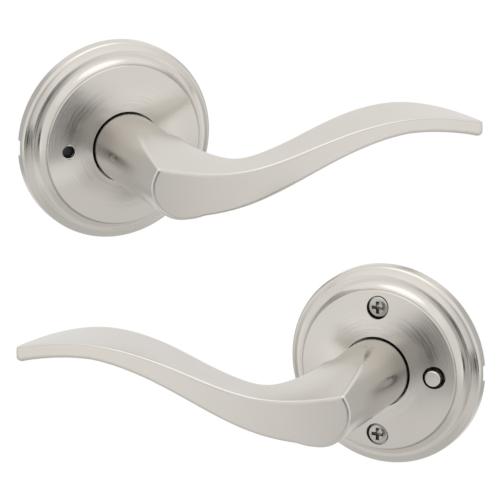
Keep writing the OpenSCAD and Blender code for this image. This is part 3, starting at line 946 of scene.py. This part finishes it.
def round_max(a: np.ndarray, b: np.ndarray, r: Any) -> np.ndarray:
    """What two solids share, with the edge between them rounded to radius r.

    Args:
        a: the first solid's field.
        b: the second one's.
        r: the radius.

    Returns:
        The shared solid's field.
    """
    inside = np.minimum(np.maximum(a, b) + r, 0.0)
    return inside + np.hypot(np.maximum(a + r, 0.0), np.maximum(b + r, 0.0)) - r


def round_min(a: np.ndarray, b: np.ndarray, r: Any) -> np.ndarray:
    """Two solids joined, with the corner between them filled to radius r.

    Args:
        a: the first solid's field.
        b: the second one's.
        r: the radius.

    Returns:
        The joined solid's field.
    """
    outside = np.maximum(np.minimum(a, b), r)
    return outside - np.hypot(np.maximum(r - a, 0.0), np.maximum(r - b, 0.0))


class SurfaceNet:
    """Turns the zero level of a field into an even mesh that lies on it."""

    CORNERS = [(i, j, k) for i in (0, 1) for j in (0, 1) for k in (0, 1)]
    PULL = 0.6
    NUDGE = 0.02

    def __init__(self, shape: Field, low: Sequence[float], high: Sequence[float],
                 step: float) -> None:
        """Keeps the field and the box to look in.

        Args:
            shape: below zero inside the solid.
            low: the box's lowest corner.
            high: the box's highest corner.
            step: the size of a cell.
        """
        self.shape, self.step = shape, step
        self.low = np.array(low, float)
        self.counts = [int(math.ceil((h - l) / step)) + 1 for l, h in zip(low, high)]

    def build(self, rounds: int = 4) -> tuple[np.ndarray, np.ndarray]:
        """Makes the net.

        Args:
            rounds: how often it is evened out.

        Returns:
            Its points, and its faces of four points each.
        """
        axes = [self.low[k] + self.step * np.arange(self.counts[k]) for k in range(3)]
        values = self.shape(*np.meshgrid(*axes, indexing="ij"))
        points, ids = self._cell_points(values)
        faces = self._faces(values, ids)
        points = self._settle(points, 3)
        for _ in range(rounds):
            points = self._settle(self._even(points, faces), 1)
        return self._settle(points, 3), faces

    def _cell_points(self, values: np.ndarray) -> tuple[np.ndarray, np.ndarray]:
        """One point in each cell that the surface passes through, and the cells' numbers.

        Args:
            values: the field at the grid's corners.

        Returns:
            The points, and each cell's point number, or -1.
        """
        n = [c - 1 for c in self.counts]
        inside = values < 0
        full = sum(inside[i:i + n[0], j:j + n[1], k:k + n[2]].astype(np.int8)
                   for i, j, k in self.CORNERS)
        active = (full > 0) & (full < 8)
        ids = np.full(active.shape, -1, int)
        cells = np.argwhere(active)
        ids[active] = np.arange(len(cells))
        total, hits = np.zeros((len(cells), 3)), np.zeros(len(cells))
        for a in self.CORNERS:
            for axis in range(3):
                if a[axis]:
                    continue
                b = tuple(1 if k == axis else a[k] for k in range(3))
                va = values[tuple((cells + a).T)]
                vb = values[tuple((cells + b).T)]
                crossed = (va < 0) != (vb < 0)
                t = np.where(crossed, va / np.where(crossed, va - vb, 1.0), 0.0)
                spot = np.array(a) + t[:, None] * (np.array(b) - np.array(a))
                total[crossed] += spot[crossed]
                hits[crossed] += 1
        return self.low + self.step * (cells + total / hits[:, None]), ids

    def _faces(self, values: np.ndarray, ids: np.ndarray) -> np.ndarray:
        """The faces, each across one grid edge that the surface crosses.

        Args:
            values: the field at the grid's corners.
            ids: each cell's point number.

        Returns:
            Rows of four point numbers.
        """
        inside = values < 0
        made = []
        for axis in range(3):
            u, w = (axis + 1) % 3, (axis + 2) % 3
            a = np.take(inside, range(self.counts[axis] - 1), axis)
            b = np.take(inside, range(1, self.counts[axis]), axis)
            spots = np.argwhere(a != b)
            spots = spots[(spots[:, u] > 0) & (spots[:, w] > 0)]
            outward = a[tuple(spots.T)]
            ring = []
            for du, dw in ((1, 1), (0, 1), (0, 0), (1, 0)):
                cell = spots.copy()
                cell[:, u] -= du
                cell[:, w] -= dw
                ring.append(ids[tuple(cell.T)])
            quad = np.stack(ring, 1)
            quad[~outward] = quad[~outward][:, ::-1]
            made.append(quad)
        return np.concatenate(made)

    def _slope(self, p: np.ndarray) -> tuple[np.ndarray, np.ndarray]:
        """The field and its gradient at some points.

        Args:
            p: the points.

        Returns:
            The field's values and its gradients.
        """
        h = self.NUDGE
        rise = [self.shape(*(p + h * e).T) - self.shape(*(p - h * e).T) for e in np.eye(3)]
        return self.shape(*p.T), np.stack(rise, 1) / (2 * h)

    def _settle(self, points: np.ndarray, times: int) -> np.ndarray:
        """Moves the points onto the surface.

        Args:
            points: where they are.
            times: how often they are moved.

        Returns:
            Where they end up.
        """
        for _ in range(times):
            value, slope = self._slope(points)
            scale = value / np.maximum((slope ** 2).sum(1), 0.05)
            points = points - np.clip(scale, -0.5, 0.5)[:, None] * slope
        return points

    def _even(self, points: np.ndarray, faces: np.ndarray) -> np.ndarray:
        """Moves each point towards the middle of its neighbours, along the surface.

        Args:
            points: where they are.
            faces: the net's faces.

        Returns:
            Where they end up.
        """
        total, count = np.zeros_like(points), np.zeros(len(points))
        for k in range(4):
            a, b = faces[:, k], faces[:, (k + 1) % 4]
            for s, t in ((a, b), (b, a)):
                for axis in range(3):
                    total[:, axis] += np.bincount(s, points[t, axis], len(points))
                count += np.bincount(s, minlength=len(points))
        move = total / count[:, None] - points
        slope = self._slope(points)[1]
        normal = slope / np.maximum(np.linalg.norm(slope, axis=1), 1e-6)[:, None]
        return points + self.PULL * (move - (move * normal).sum(1)[:, None] * normal)


@dataclass
class Lever:
    """The cast lever: a round neck faced down to a crease, and a wave-shaped blade."""

    where: HalfFrame
    trees: ShapeTrees
    length: float = 112.4
    projection: float = 67.5
    neck_r: float = 12.0
    neck_z: float = 10.1
    bore_r: float = 8.05
    bore_top: float = 38.7
    hub_face_h: float = 16.2
    tip_face_h: float = 5.2
    wave_mid: float = 8.8
    wave_amp: float = 5.8
    wave_bow: float = 0.7
    dip_x: float = 18.0
    crest_x: float = 84.0
    blade_depth: float = 17.2
    paddle_depth: float = 24.2
    web_r: float = 18.0
    web_fillet: float = 2.0
    crown_x: float = 35.0
    near_run: float = 44.0
    near_drop: float = 1.2
    far_drop: float = 3.5
    face_fade: float = 1.25
    edge_r: float = 0.62
    side_r: float = 0.7
    side_end: float = 14.0
    back_r: float = 4.0
    back_r_web: float = 0.8
    back_r_share: float = 0.44
    back_from: float = 0.35
    back_run: float = 0.4
    foot_r: float = 0.5
    slant: float = 0.96
    facet_slope: float = 0.17
    facet_end: float = 32.0
    under_run: float = 30.0
    under_rise: float = 0.45
    under_belly: float = 1.2
    cell: float = 0.5

    def crease_y(self, x: np.ndarray) -> np.ndarray:
        """Height of the front face's top edge.

        Args:
            x: places along the lever.

        Returns:
            The edge's y at each.
        """
        p = (x - self.dip_x) / (self.crest_x - self.dip_x)
        bow = np.where((p > 0) & (p < 1), self.wave_bow * np.sin(np.pi * p) ** 2, 0.0)
        return self.wave_mid - self.wave_amp * np.cos(np.pi * p) + bow

    def face_h(self, x: np.ndarray) -> np.ndarray:
        """Height of the front face."""
        share = np.maximum(0.0, (self.crest_x - np.maximum(x, 0.0)) / self.crest_x)
        return self.tip_face_h + (self.hub_face_h - self.tip_face_h) * share ** self.face_fade

    def front_z(self, x: np.ndarray) -> np.ndarray:
        """Height above the door of the crowned front face.

        Args:
            x: places along the lever.

        Returns:
            The face's z at each.
        """
        near = self.near_drop * ((self.crown_x - x) / self.near_run) ** 2
        far = self.far_drop * ((x - self.crown_x) / (self.length - self.crown_x)) ** 2
        return self.projection - np.where(x < self.crown_x, near, far)

    def web(self, x: np.ndarray) -> np.ndarray:
        """How far the web between neck and blade reaches behind the blade.

        Args:
            x: places along the lever.

        Returns:
            The reach at each.
        """
        end = self.neck_r + self.web_r
        inner = self.web_r ** 2 - np.maximum(end - np.maximum(x, self.neck_r), 0.0) ** 2
        return np.where(x < end, self.web_r - np.sqrt(np.maximum(inner, 0.0)), 0.0)

    def depth(self, x: np.ndarray) -> np.ndarray:
        """Depth of the blade from its front face.

        Args:
            x: places along the lever.

        Returns:
            The depth at each.
        """
        end = self.neck_r + self.web_r
        grow = self.blade_depth + (self.paddle_depth - self.blade_depth) * step_up(
            (x - end) / (self.crest_x - end))
        share = np.clip((x - self.crest_x) / (self.length - self.crest_x), 0.0, 1.0)
        return grow * np.sqrt(1 - share ** 2) + self.web(x)

    def top_y(self, x: np.ndarray, z: np.ndarray) -> np.ndarray:
        """Height of the lever's top."""
        slope = self.facet_slope * (1 - step_up(x / self.facet_end))
        return self.crease_y(x) + slope * (self.front_z(x) - z)

    def under_y(self, x: np.ndarray, z: np.ndarray) -> np.ndarray:
        """Height of the lever's underside.

        Args:
            x: places along the lever.
            z: heights above the door.

        Returns:
            The underside's y at each.
        """
        t = (self.front_z(x) - z) / np.maximum(self.depth(x), 0.5)
        t = np.clip(t, 0.0, 1.0)
        out = step_up((x - self.neck_r) / self.under_run)
        rise = self.under_rise * self.face_h(x) * t * t - self.under_belly * np.sin(np.pi * t)
        return self.crease_y(x) - self.face_h(x) + out * rise

    def plan(self) -> np.ndarray:
        """The blade's back edge seen from above, as rows of (x, z), from the neck round the tip."""
        start, web_end, beyond = -2.0, self.neck_r + self.web_r, self.projection + 40
        turns = np.sin(np.radians(np.linspace(0, 90, 60)))
        x = np.concatenate([np.linspace(start, self.neck_r, 6),
                            np.linspace(self.neck_r, web_end, 50)[1:],
                            np.linspace(web_end, self.crest_x, 60)[1:],
                            self.crest_x + (self.length - self.crest_x) * turns[1:]])
        z = self.front_z(x) - self.depth(x)
        return np.concatenate([[[start, beyond]], np.stack([x, z], 1), [[self.length, beyond]]])

    def back_gap(self) -> Callable[[np.ndarray, np.ndarray], np.ndarray]:
        """Distance to the blade's back edge as a smooth table, below zero inside.

        Returns:
            A function of x and z.
        """
        step = 0.5
        xs, zs = np.arange(-16, self.length + 6, step), np.arange(4, self.projection + 4, step)
        gx, gz = np.meshgrid(xs, zs, indexing="ij")
        path = self.plan()
        best, crossings = np.full(gx.shape, 1e9), np.zeros(gx.shape, int)
        for (ax, az), (bx, bz) in zip(path[:-1], path[1:]):
            run = (bx - ax) ** 2 + (bz - az) ** 2
            t = np.clip(((gx - ax) * (bx - ax) + (gz - az) * (bz - az)) / max(run, 1e-12), 0, 1)
            gap = np.hypot(gx - ax - t * (bx - ax), gz - az - t * (bz - az))
            best = np.minimum(best, gap)
            if az != bz:
                hit = (az > gz) != (bz > gz)
                at = ax + (gz - az) / (bz - az) * (bx - ax)
                crossings += (hit & (gx < at)).astype(int)
        table = np.where(crossings % 2 == 1, -best, best)

        def look_up(x: np.ndarray, z: np.ndarray) -> np.ndarray:
            """Reads the table between its entries."""
            u = np.clip((x - xs[0]) / step, 0, len(xs) - 1.001)
            w = np.clip((z - zs[0]) / step, 0, len(zs) - 1.001)
            i, k = u.astype(int), w.astype(int)
            fu, fw = u - i, w - k
            return ((table[i, k] * (1 - fu) + table[i + 1, k] * fu) * (1 - fw)
                    + (table[i, k + 1] * (1 - fu) + table[i + 1, k + 1] * fu) * fw)

        return look_up

    def solid(self) -> Field:
        """The whole lever as a field, below zero inside."""
        back = self.back_gap()

        def value(x: np.ndarray, y: np.ndarray, z: np.ndarray) -> np.ndarray:
            """The field at some points."""
            front = self.front_z(x)
            top, under = self.top_y(x, z), self.under_y(x, z)
            height = self.face_h(np.clip(x, 0, self.length))
            round_back = np.minimum(self.back_r + self.back_r_web * self.web(x),
                                    self.back_r_share * height)
            t = (front - z) / np.maximum(self.depth(x), 0.5)
            blade = round_max(back(x, z), (under - y) * self.slant, round_back)
            neck = np.hypot(x, y) - self.neck_r
            sides = round_min(neck, blade, self.web_fillet)
            crown = round_max((y - top) * self.slant, z - front, self.edge_r)
            ease = step_up((x - self.side_end) / self.side_end) * step_up(
                (t - self.back_from) / self.back_run)
            rounding = self.side_r + (round_back - self.side_r) * ease
            solid = round_max(sides, crown, rounding)
            solid = round_max(solid, self.neck_z - z, self.foot_r)
            bore = np.maximum(np.hypot(x, y) - self.bore_r, z - self.bore_top)
            return np.maximum(solid, -bore)

        return value

    def body(self, name: str, hole: bpy.types.Mesh) -> bpy.types.Mesh:
        """Makes the lever with its catch hole.

        Args:
            name: the mesh's name.
            hole: what the catch hole takes out.

        Returns:
            The lever in the half frame.
        """
        net = SurfaceNet(self.solid(), (-13.5, -13.5, self.neck_z - 1.5),
                         (self.length + 1.5, 16.5, self.projection + 1.5), self.cell)
        points, faces = net.build()
        mesh = mesh_of(name, points, faces)
        return soften(cut(mesh, hole), 50)

    def build(self, material: bpy.types.Material, hole: bpy.types.Mesh) -> None:
        """Makes the lever and shows it.

        Args:
            material: its finish.
            hole: what the catch hole takes out.
        """
        side = self.where.half.value
        Piece(f"{side}_lever_body", self.body(f"{side}_lever_body", hole), f"{side}_handle",
              (f"{side}_lever",), "satin_nickel").show(self.where, material)


@dataclass
class Catch:
    """The sprung pin in the lever's neck. Its heights are counted along it from the spindle axis."""

    where: HalfFrame
    trees: ShapeTrees
    turn: float
    z: float
    flange_r: float = 2.6
    flange: tuple[float, float] = (3.2, 5.2)
    pin_r: float = 1.4
    tip: float = 11.9
    hole_r: float = 1.42
    hole: tuple[float, float] = (9.0, 14.0)
    coil: Coil = Coil(1.8, 7.9, 6.0, 0.225)
    coil_at: float = -5.0

    def place(self) -> Matrix:
        """From a pin that stands on z to the catch's place in the neck."""
        out = Matrix.Rotation(math.radians(90), 4, "Y")
        turn = Matrix.Rotation(math.radians(self.turn), 4, "Z")
        return Matrix.Translation((0, 0, self.z)) @ turn @ out

    def cutter(self) -> bpy.types.Mesh:
        """What the catch hole takes out of the neck."""
        low, high = self.hole
        path = [(0.0, low), (self.hole_r, low), (self.hole_r, high), (0.0, high)]
        hole = turned(self.trees, "catch_hole", path, 40)
        hole.transform(self.place())
        return hole

    def build(self, metal: bpy.types.Material, steel: bpy.types.Material) -> None:
        """Makes the pin and its spring, and shows them.

        Args:
            metal: the pin's finish.
            steel: the spring's finish.
        """
        side = self.where.half.value
        low, high = self.flange
        path = eased_to_axis([
            (0.0, low), (self.flange_r, low), (self.flange_r, high), (self.pin_r, high),
            (self.pin_r, self.tip - 0.35), (self.pin_r - 0.25, self.tip - 0.05),
            (0.0, self.tip)], 0.08, 0.1)
        pin = turned(self.trees, f"{side}_catch_pin", path, 40)
        pin.transform(self.place())
        Piece(f"{side}_catch_pin", soften(pin), f"{side}_catch", (f"{side}_lever_catch",),
              "zinc_plate").show(self.where, metal)
        coil = self.coil.build(self.trees)
        coil.transform(self.place() @ Matrix.Translation((0, 0, self.coil_at)))
        Piece(f"{side}_catch_coil", coil, f"{side}_handle", (f"{side}_catch_spring",),
              "spring_steel").show(self.where, steel)


# ------------------------------------------------------------------------ the return spring, rivets


@dataclass
class SpringWorks:
    """The return spring and the rivets that hold its cage."""

    where: HalfFrame
    trees: ShapeTrees
    coil_r: float = 10.6
    wire_r: float = 0.5
    low_z: float = 5.0
    rise: float = 2.145
    turns: float = 2.0
    leg_x: float = 2.1
    leg_bend: float = 1.6
    leg_end: float = 13.7
    rivets: int = 4
    rivet_at: float = 18.4
    rivet_r: float = 1.5
    rivet_h: float = 3.2
    head_r: float = 2.5
    head_top: float = 4.1

    def build(self, steel: bpy.types.Material, plated: bpy.types.Material) -> None:
        """Makes the spring and the rivets, and shows them."""
        side = self.where.half.value
        lean = math.asin(self.leg_x / self.coil_r)
        sweep = 2 * math.pi * self.turns - 2 * lean
        bend = -self.coil_r - self.leg_bend
        path = [(-self.leg_x, -self.leg_end, self.low_z), (-self.leg_x, bend, self.low_z)]
        for t in np.linspace(0, 1, 121):
            a = -math.pi / 2 - lean - sweep * t
            path.append((self.coil_r * math.cos(a), self.coil_r * math.sin(a),
                         self.low_z + self.rise * t))
        high = self.low_z + self.rise
        path += [(self.leg_x, bend, high), (self.leg_x, -self.leg_end, high)]
        line = mesh_of("line", path, [], [(i, i + 1) for i in range(len(path) - 1)])
        coil = run_group(self.trees.rod, line, {"Wire": self.wire_r, "Sides": 14})
        Piece(f"{side}_return_coil", coil, "base", (f"{side}_return_spring",),
              "spring_steel").show(self.where, steel)
        path = eased_to_axis([
            (0.0, 0.0), (self.rivet_r, 0.0), (self.rivet_r, self.rivet_h),
            (self.head_r, self.rivet_h), (self.head_r - 0.15, self.head_top - 0.35),
            (self.head_r - 0.8, self.head_top - 0.02), (0.0, self.head_top)], 0.1, 0.1)
        rivet = turned(self.trees, "rivet", path, 32)
        rivets = run_group(self.trees.ring, rivet, {
            "Count": self.rivets, "Radius": self.rivet_at, "Start": math.pi / 4})
        Piece(f"{side}_rivets", soften(rivets), "base", (f"{side}_cage_rivets",),
              "zinc_plate").show(self.where, plated)


# ---------------------------------------------------------------------------------- door fixing, lock


@dataclass
class Screws:
    """The two mounting screws of the inside half, at a distance out from the spindle axis."""

    where: HalfFrame
    trees: ShapeTrees
    top: float
    out: float
    core_r: float = 1.7
    tip_r: float = 1.45
    tip_h: float = 0.6
    head_r: float = 3.65
    head_t: float = 2.3
    reach: float = 25.0
    thread: Coil = Coil(1.72, 21.0, 30.0, 0.27, sides=4, steps=20)
    thread_at: float = 0.8
    recess: tuple[tuple[float, float, float], ...] = (
        (0.9, 0.36, -2.1), (1.75, 0.5, -1.3), (2.3, 0.66, 0.3))

    def build(self, material: bpy.types.Material) -> None:
        """Makes both screws and shows them."""
        under = self.top - self.head_t
        path = eased_to_axis([
            (0.0, -self.reach), (self.tip_r, -self.reach), (self.core_r, -self.reach + self.tip_h),
            (self.core_r, under), (self.head_r, under), (self.head_r, self.top - 0.75),
            (self.head_r - 0.55, self.top - 0.22), (self.head_r - 1.6, self.top - 0.03),
            (0.0, self.top)], 0.09, 0.12)
        screw = cut(turned(self.trees, "mounting_screw", path, 64), self._recess())
        thread = self.thread.build(self.trees)
        thread.transform(Matrix.Translation((0, 0, -self.reach + self.thread_at)))
        both = run_group(self.trees.ring, soften(joined(screw, thread)), {
            "Count": 2, "Radius": self.out, "Start": math.pi / 2})
        Piece("screw_pair", soften(both, 32), "base", ("mounting_screws",), "nickel_screw").show(
            self.where, material)

    def _recess(self) -> bpy.types.Mesh:
        """The tapered cross that is cut into a screw's head."""
        def cross(arm: float, half: float, z: float) -> list[tuple[float, float, float]]:
            """A cross's outline at height z."""
            corner = [(arm, -half), (arm, half), (half, half)]
            out = []
            for k in range(4):
                c, s = math.cos(math.pi / 2 * k), math.sin(math.pi / 2 * k)
                out += [(x * c - y * s, x * s + y * c, z) for x, y in corner]
            return out

        rings = [cross(arm, half, self.top + rise) for arm, half, rise in self.recess]
        faces: list[list[int]] = [list(range(11, -1, -1)), list(range(24, 36))]
        for level in range(2):
            for k in range(12):
                a, b = level * 12 + k, level * 12 + (k + 1) % 12
                faces.append([a, b, b + 12, a + 12])
        return mesh_of("recess", [p for ring in rings for p in ring], faces)


@dataclass
class LockButton:
    """The push button of the inside half and its spring."""

    where: HalfFrame
    trees: ShapeTrees
    x: float
    dome_h: float
    flange_z: float = 6.0
    flange_r: float = 4.6
    flange_t: float = 1.3
    body_r: float = 3.3
    cap_r: float = 2.8
    proud: float = 1.6
    sunk: float = 2.8
    coil: Coil = Coil(2.65, 3.4, 2.5, 0.25, steps=36)
    coil_at: float = 2.3

    def build(self, material: bpy.types.Material, steel: bpy.types.Material) -> None:
        """Makes the button and its spring, and shows them."""
        top = self.dome_h + self.proud
        step, shoulder = self.flange_z + self.flange_t, self.dome_h - self.sunk
        path = eased_to_axis([
            (0.0, self.flange_z), (self.flange_r, self.flange_z), (self.flange_r, step),
            (self.body_r, step), (self.body_r, shoulder), (self.cap_r, shoulder + 0.5),
            (self.cap_r, top - 0.28), (self.cap_r - 0.3, top), (0.0, top)], 0.07, 0.1)
        button = turned(self.trees, "push_button", path, 72)
        button.transform(Matrix.Translation((self.x, 0, 0)))
        Piece("push_button", soften(button, 40), "lock", ("lock_button",), "satin_nickel").show(
            self.where, material)
        coil = self.coil.build(self.trees)
        coil.transform(Matrix.Translation((self.x, 0, self.coil_at)))
        Piece("button_coil", coil, "base", ("lock_spring",), "spring_steel").show(
            self.where, steel)


# ----------------------------------------------------------------------------------------- the scene


Edge = tuple[float, float]
WHITE = (1.0, 1.0, 1.0, 1.0)


@dataclass(frozen=True)
class Tent:
    """Zones of the light tent. Each edge is soft, from one angle to another, in degrees.

    The turn is counted from the camera's side, the same to the left and to the right, and the rise
    from level.
    """

    low: Edge = (-30.0, -16.0)
    lean: float = 0.5
    front_turn: Edge = (25.0, 32.0)
    front_top: Edge = (18.0, 36.0)
    front_dark: float = 0.42
    core_at: Edge = (28.0, -7.0)
    core_size: Edge = (12.0, 10.5)
    core_soft: Edge = (0.15, 1.2)
    core_dark: float = 0.97
    side_start: Edge = (31.0, 40.0)
    side_end: Edge = (54.0, 66.0)
    side_top: Edge = (-10.0, 6.0)
    side_light: float = 0.17
    back_start: Edge = (108.0, 118.0)
    back_end: Edge = (144.0, 153.0)
    back_low: Edge = (-34.0, -24.0)
    back_top: Edge = (20.0, 30.0)
    back_dark: float = 0.35
    ground: float = 0.68
    lifts: tuple[tuple[float, float, float], ...] = (
        (-60.0, -42.0, 0.14), (-26.0, -12.0, 0.14), (26.0, 44.0, 0.14), (60.0, 72.0, 0.5))

    def level(self, turn: Num, rise: Num) -> Num:
        """How bright the tent is in a direction.

        Args:
            turn: the direction's turn, without its sign.
            rise: its rise.

        Returns:
            The brightness, 1 for white.
        """
        above = rise.between(*self.low)
        edge = turn + rise * self.lean
        front = (1 - edge.between(*self.front_turn)) * above * (1 - rise.between(*self.front_top))
        across = (turn - self.core_at[0]) / self.core_size[0]
        up = (rise - self.core_at[1]) / self.core_size[1]
        core = 1 - (across * across + up * up).between(*self.core_soft)
        sides = edge.between(*self.side_start) * (1 - turn.between(*self.side_end)) * above
        behind = turn.between(*self.back_start) * (1 - turn.between(*self.back_end)) * (
            rise.between(*self.back_low) * (1 - rise.between(*self.back_top)))
        glow: Any = self.ground
        for low, high, gain in self.lifts:
            glow = rise.between(low, high) * gain + glow
        glow = glow + sides * (1 - rise.between(*self.side_top)) * self.side_light
        return (glow * (1 - front * self.front_dark) * (1 - core * self.core_dark)
                * (1 - behind * self.back_dark))


@dataclass
class Studio:
    """Camera, light and floor, in metres and degrees; the lens is in millimetres."""

    azimuth: float = 22.5
    elevation: float = 16.5
    distance: float = 7.146
    lens: float = 1500.0
    look_at: tuple[float, float, float] = (-0.0487, -0.0084, 0.0367)
    tent: Tent = Tent()
    card_x: tuple[float, float] = (-0.118, -0.034)
    card_y: float = -0.041
    card_z: tuple[float, float] = (0.002, 0.027)
    card_light: float = 0.95
    floor_gap: float = 0.002
    floor_half: float = 3.0

    def camera_side(self, turn: float, rise: float) -> Vector:
        """Direction from the object at a turn and rise from the camera's own, in degrees."""
        a, e = math.radians(self.azimuth + turn), math.radians(rise)
        return Vector((math.sin(a) * math.cos(e), -math.cos(a) * math.cos(e), math.sin(e)))

    def build(self, lowest: float) -> None:
        """Makes the camera, the light and the floor.

        Args:
            lowest: height of the object's lowest point.
        """
        back = self.camera_side(0.0, self.elevation)
        data = bpy.data.cameras.new("camera")
        data.lens, data.sensor_width = self.lens, 36.0
        data.clip_start, data.clip_end = 0.5, 60.0
        camera = bpy.data.objects.new("camera", data)
        bpy.context.scene.collection.objects.link(camera)
        camera.rotation_mode = "QUATERNION"
        camera.location = Vector(self.look_at) + back * self.distance
        camera.rotation_quaternion = (-back).to_track_quat("-Z", "Y")
        bpy.context.scene.camera = camera
        bpy.context.scene.view_settings.view_transform = "Standard"
        self._world()
        self._card()
        self._floor(lowest)

    def _world(self) -> None:
        """A light tent: white all round, with soft dark screens to give the metal its shape."""
        world = bpy.data.worlds.new("light_tent")
        bpy.context.scene.world = world
        world.use_nodes = True
        world.node_tree.nodes.clear()
        nodes = NodeBuilder(world.node_tree)
        tent = nodes.add("ShaderNodeBackground", None, {
            "Color": (1.0, 0.99, 0.975, 1.0), "Strength": self._tent_level(nodes)})
        white = nodes.add("ShaderNodeBackground", None, {"Color": WHITE, "Strength": 1.0})
        path = nodes.add("ShaderNodeLightPath")
        both = nodes.add("ShaderNodeMixShader", None, {
            0: path.outputs["Is Camera Ray"], 1: tent.outputs[0], 2: white.outputs[0]})
        nodes.add("ShaderNodeOutputWorld", None, {"Surface": both.outputs[0]})

    def _tent_level(self, nodes: NodeBuilder) -> Num:
        """How bright the tent is in each direction, from the direction's turn and rise.

        Args:
            nodes: the world's builder.

        Returns:
            The brightness, 1 for white.
        """
        way = nodes.add("ShaderNodeTexCoord").outputs["Generated"]

        def part(axis: Vector) -> Num:
            """How far the direction goes along an axis."""
            return nodes.num(nodes.add("ShaderNodeVectorMath", {"operation": "DOT_PRODUCT"}, {
                0: way, 1: tuple(axis)}).outputs["Value"])

        degrees = 180 / math.pi
        turn = part(self.camera_side(90.0, 0.0)).angle_from(part(self.camera_side(0.0, 0.0)))
        rise = part(Vector((0.0, 0.0, 1.0))).arcsine() * degrees
        return self.tent.level((turn * degrees).size(), rise)

    def _card(self) -> None:
        """A white card behind the inside lever: its top face mirrors this, not the other half."""
        (left, right), (low, high), y = self.card_x, self.card_z, self.card_y
        card = self._sheet("card", [(left, y, low), (right, y, low), (right, y, high),
                                    (left, y, high)], "card_white", self.card_light)
        for kind in ("camera", "diffuse", "transmission", "volume_scatter", "shadow"):
            setattr(card, f"visible_{kind}", False)

    @staticmethod
    def _sheet(name: str, corners: Sequence[Sequence[float]], finish: str,
               strength: float) -> bpy.types.Object:
        """Makes a flat sheet of a plain white glowing material.

        Args:
            name: the sheet's name.
            corners: its four corners.
            finish: the material's name.
            strength: how bright it glows, 1 for white.

        Returns:
            The sheet's object.
        """
        material, nodes = new_material(finish)
        glow = nodes.add("ShaderNodeEmission", None, {"Color": WHITE, "Strength": strength})
        nodes.add("ShaderNodeOutputMaterial", None, {"Surface": glow.outputs[0]})
        mesh = mesh_of(name, corners, [(0, 1, 2, 3)])
        mesh.materials.append(material)
        return object_of(mesh)

    def _floor(self, lowest: float) -> None:
        """A plain pale floor a little below the object."""
        z, r = lowest - self.floor_gap, self.floor_half
        floor = self._sheet("floor", [(-r, -r, z), (r, -r, z), (r, r, z), (-r, r, z)],
                            "pale_floor", 1.0)
        floor.visible_glossy = False
        floor.visible_diffuse = False


@dataclass(frozen=True)
class HalfPlan:
    """What differs between the halves: the holes in the rose, and where the catch is."""

    openings: tuple[Opening, ...]
    catch_turn: float
    catch_z: float


# How far the lock and each mounting screw are from the spindle axis.
LOCK_X = 21.0
SCREW_Y = 22.6
PLANS = {
    Half.OUTSIDE: HalfPlan((Opening(-LOCK_X, 0.0, 2.15, 0.35),), 172.0, 30.0),
    Half.INSIDE: HalfPlan((Opening(-LOCK_X, 0.0, 3.95, 0.25), Opening(0.0, SCREW_Y, 4.0, 0.25),
                           Opening(0.0, -SCREW_Y, 4.0, 0.25)), 98.0, 24.0),
}


def dress_cad(finishes: dict[str, bpy.types.Material]) -> None:
    """Gives each CAD node the finish of its material slot.

    Args:
        finishes: material by the record's slot.
    """
    slots = {s["node"]: s["material_slot"] for s in frame["record"]["subparts"]}
    for name, node in frame["nodes"].items():
        node.data.materials.clear()
        node.data.materials.append(finishes[slots[name]])


def main() -> None:
    """Builds both halves and the scene."""
    logging.basicConfig(level=logging.INFO, format="%(name)s: %(message)s")
    trees = ShapeTrees()
    zinc, steel = ZINC.build(), SPRING_STEEL.build()
    finishes = {"satin_nickel": BUTTON_NICKEL.build(), "zinc_plate": zinc, "spring_steel": steel,
                "nickel_screw": SCREW_NICKEL.build(), "bronze": BRONZE.build(),
                "nylon": NYLON.build(), "dark_nylon": DARK_NYLON.build()}
    dress_cad(finishes)
    for half in Half:
        where = HalfFrame.from_joints(half, frame["joints"])
        turned_nickel = SATIN_TURNED.build(where.axis_to_z(lever=False))
        cast_nickel = SATIN_CAST.build(where.axis_to_z(lever=True))
        plan = PLANS[half]
        rose = Rose(where, trees, openings=plan.openings)
        rose.build(turned_nickel)
        catch = Catch(where, trees, plan.catch_turn, plan.catch_z)
        Lever(where, trees).build(cast_nickel, catch.cutter())
        catch.build(cast_nickel, steel)
        SpringWorks(where, trees).build(steel, zinc)
        if half is Half.INSIDE:
            Screws(where, trees, rose.dome(SCREW_Y) - 0.1, SCREW_Y).build(finishes["nickel_screw"])
            LockButton(where, trees, -LOCK_X, rose.dome(LOCK_X)).build(
                finishes["satin_nickel"], steel)
    Studio().build(CAD_BOX[0].z)


if __name__ == "__main__":
    main()
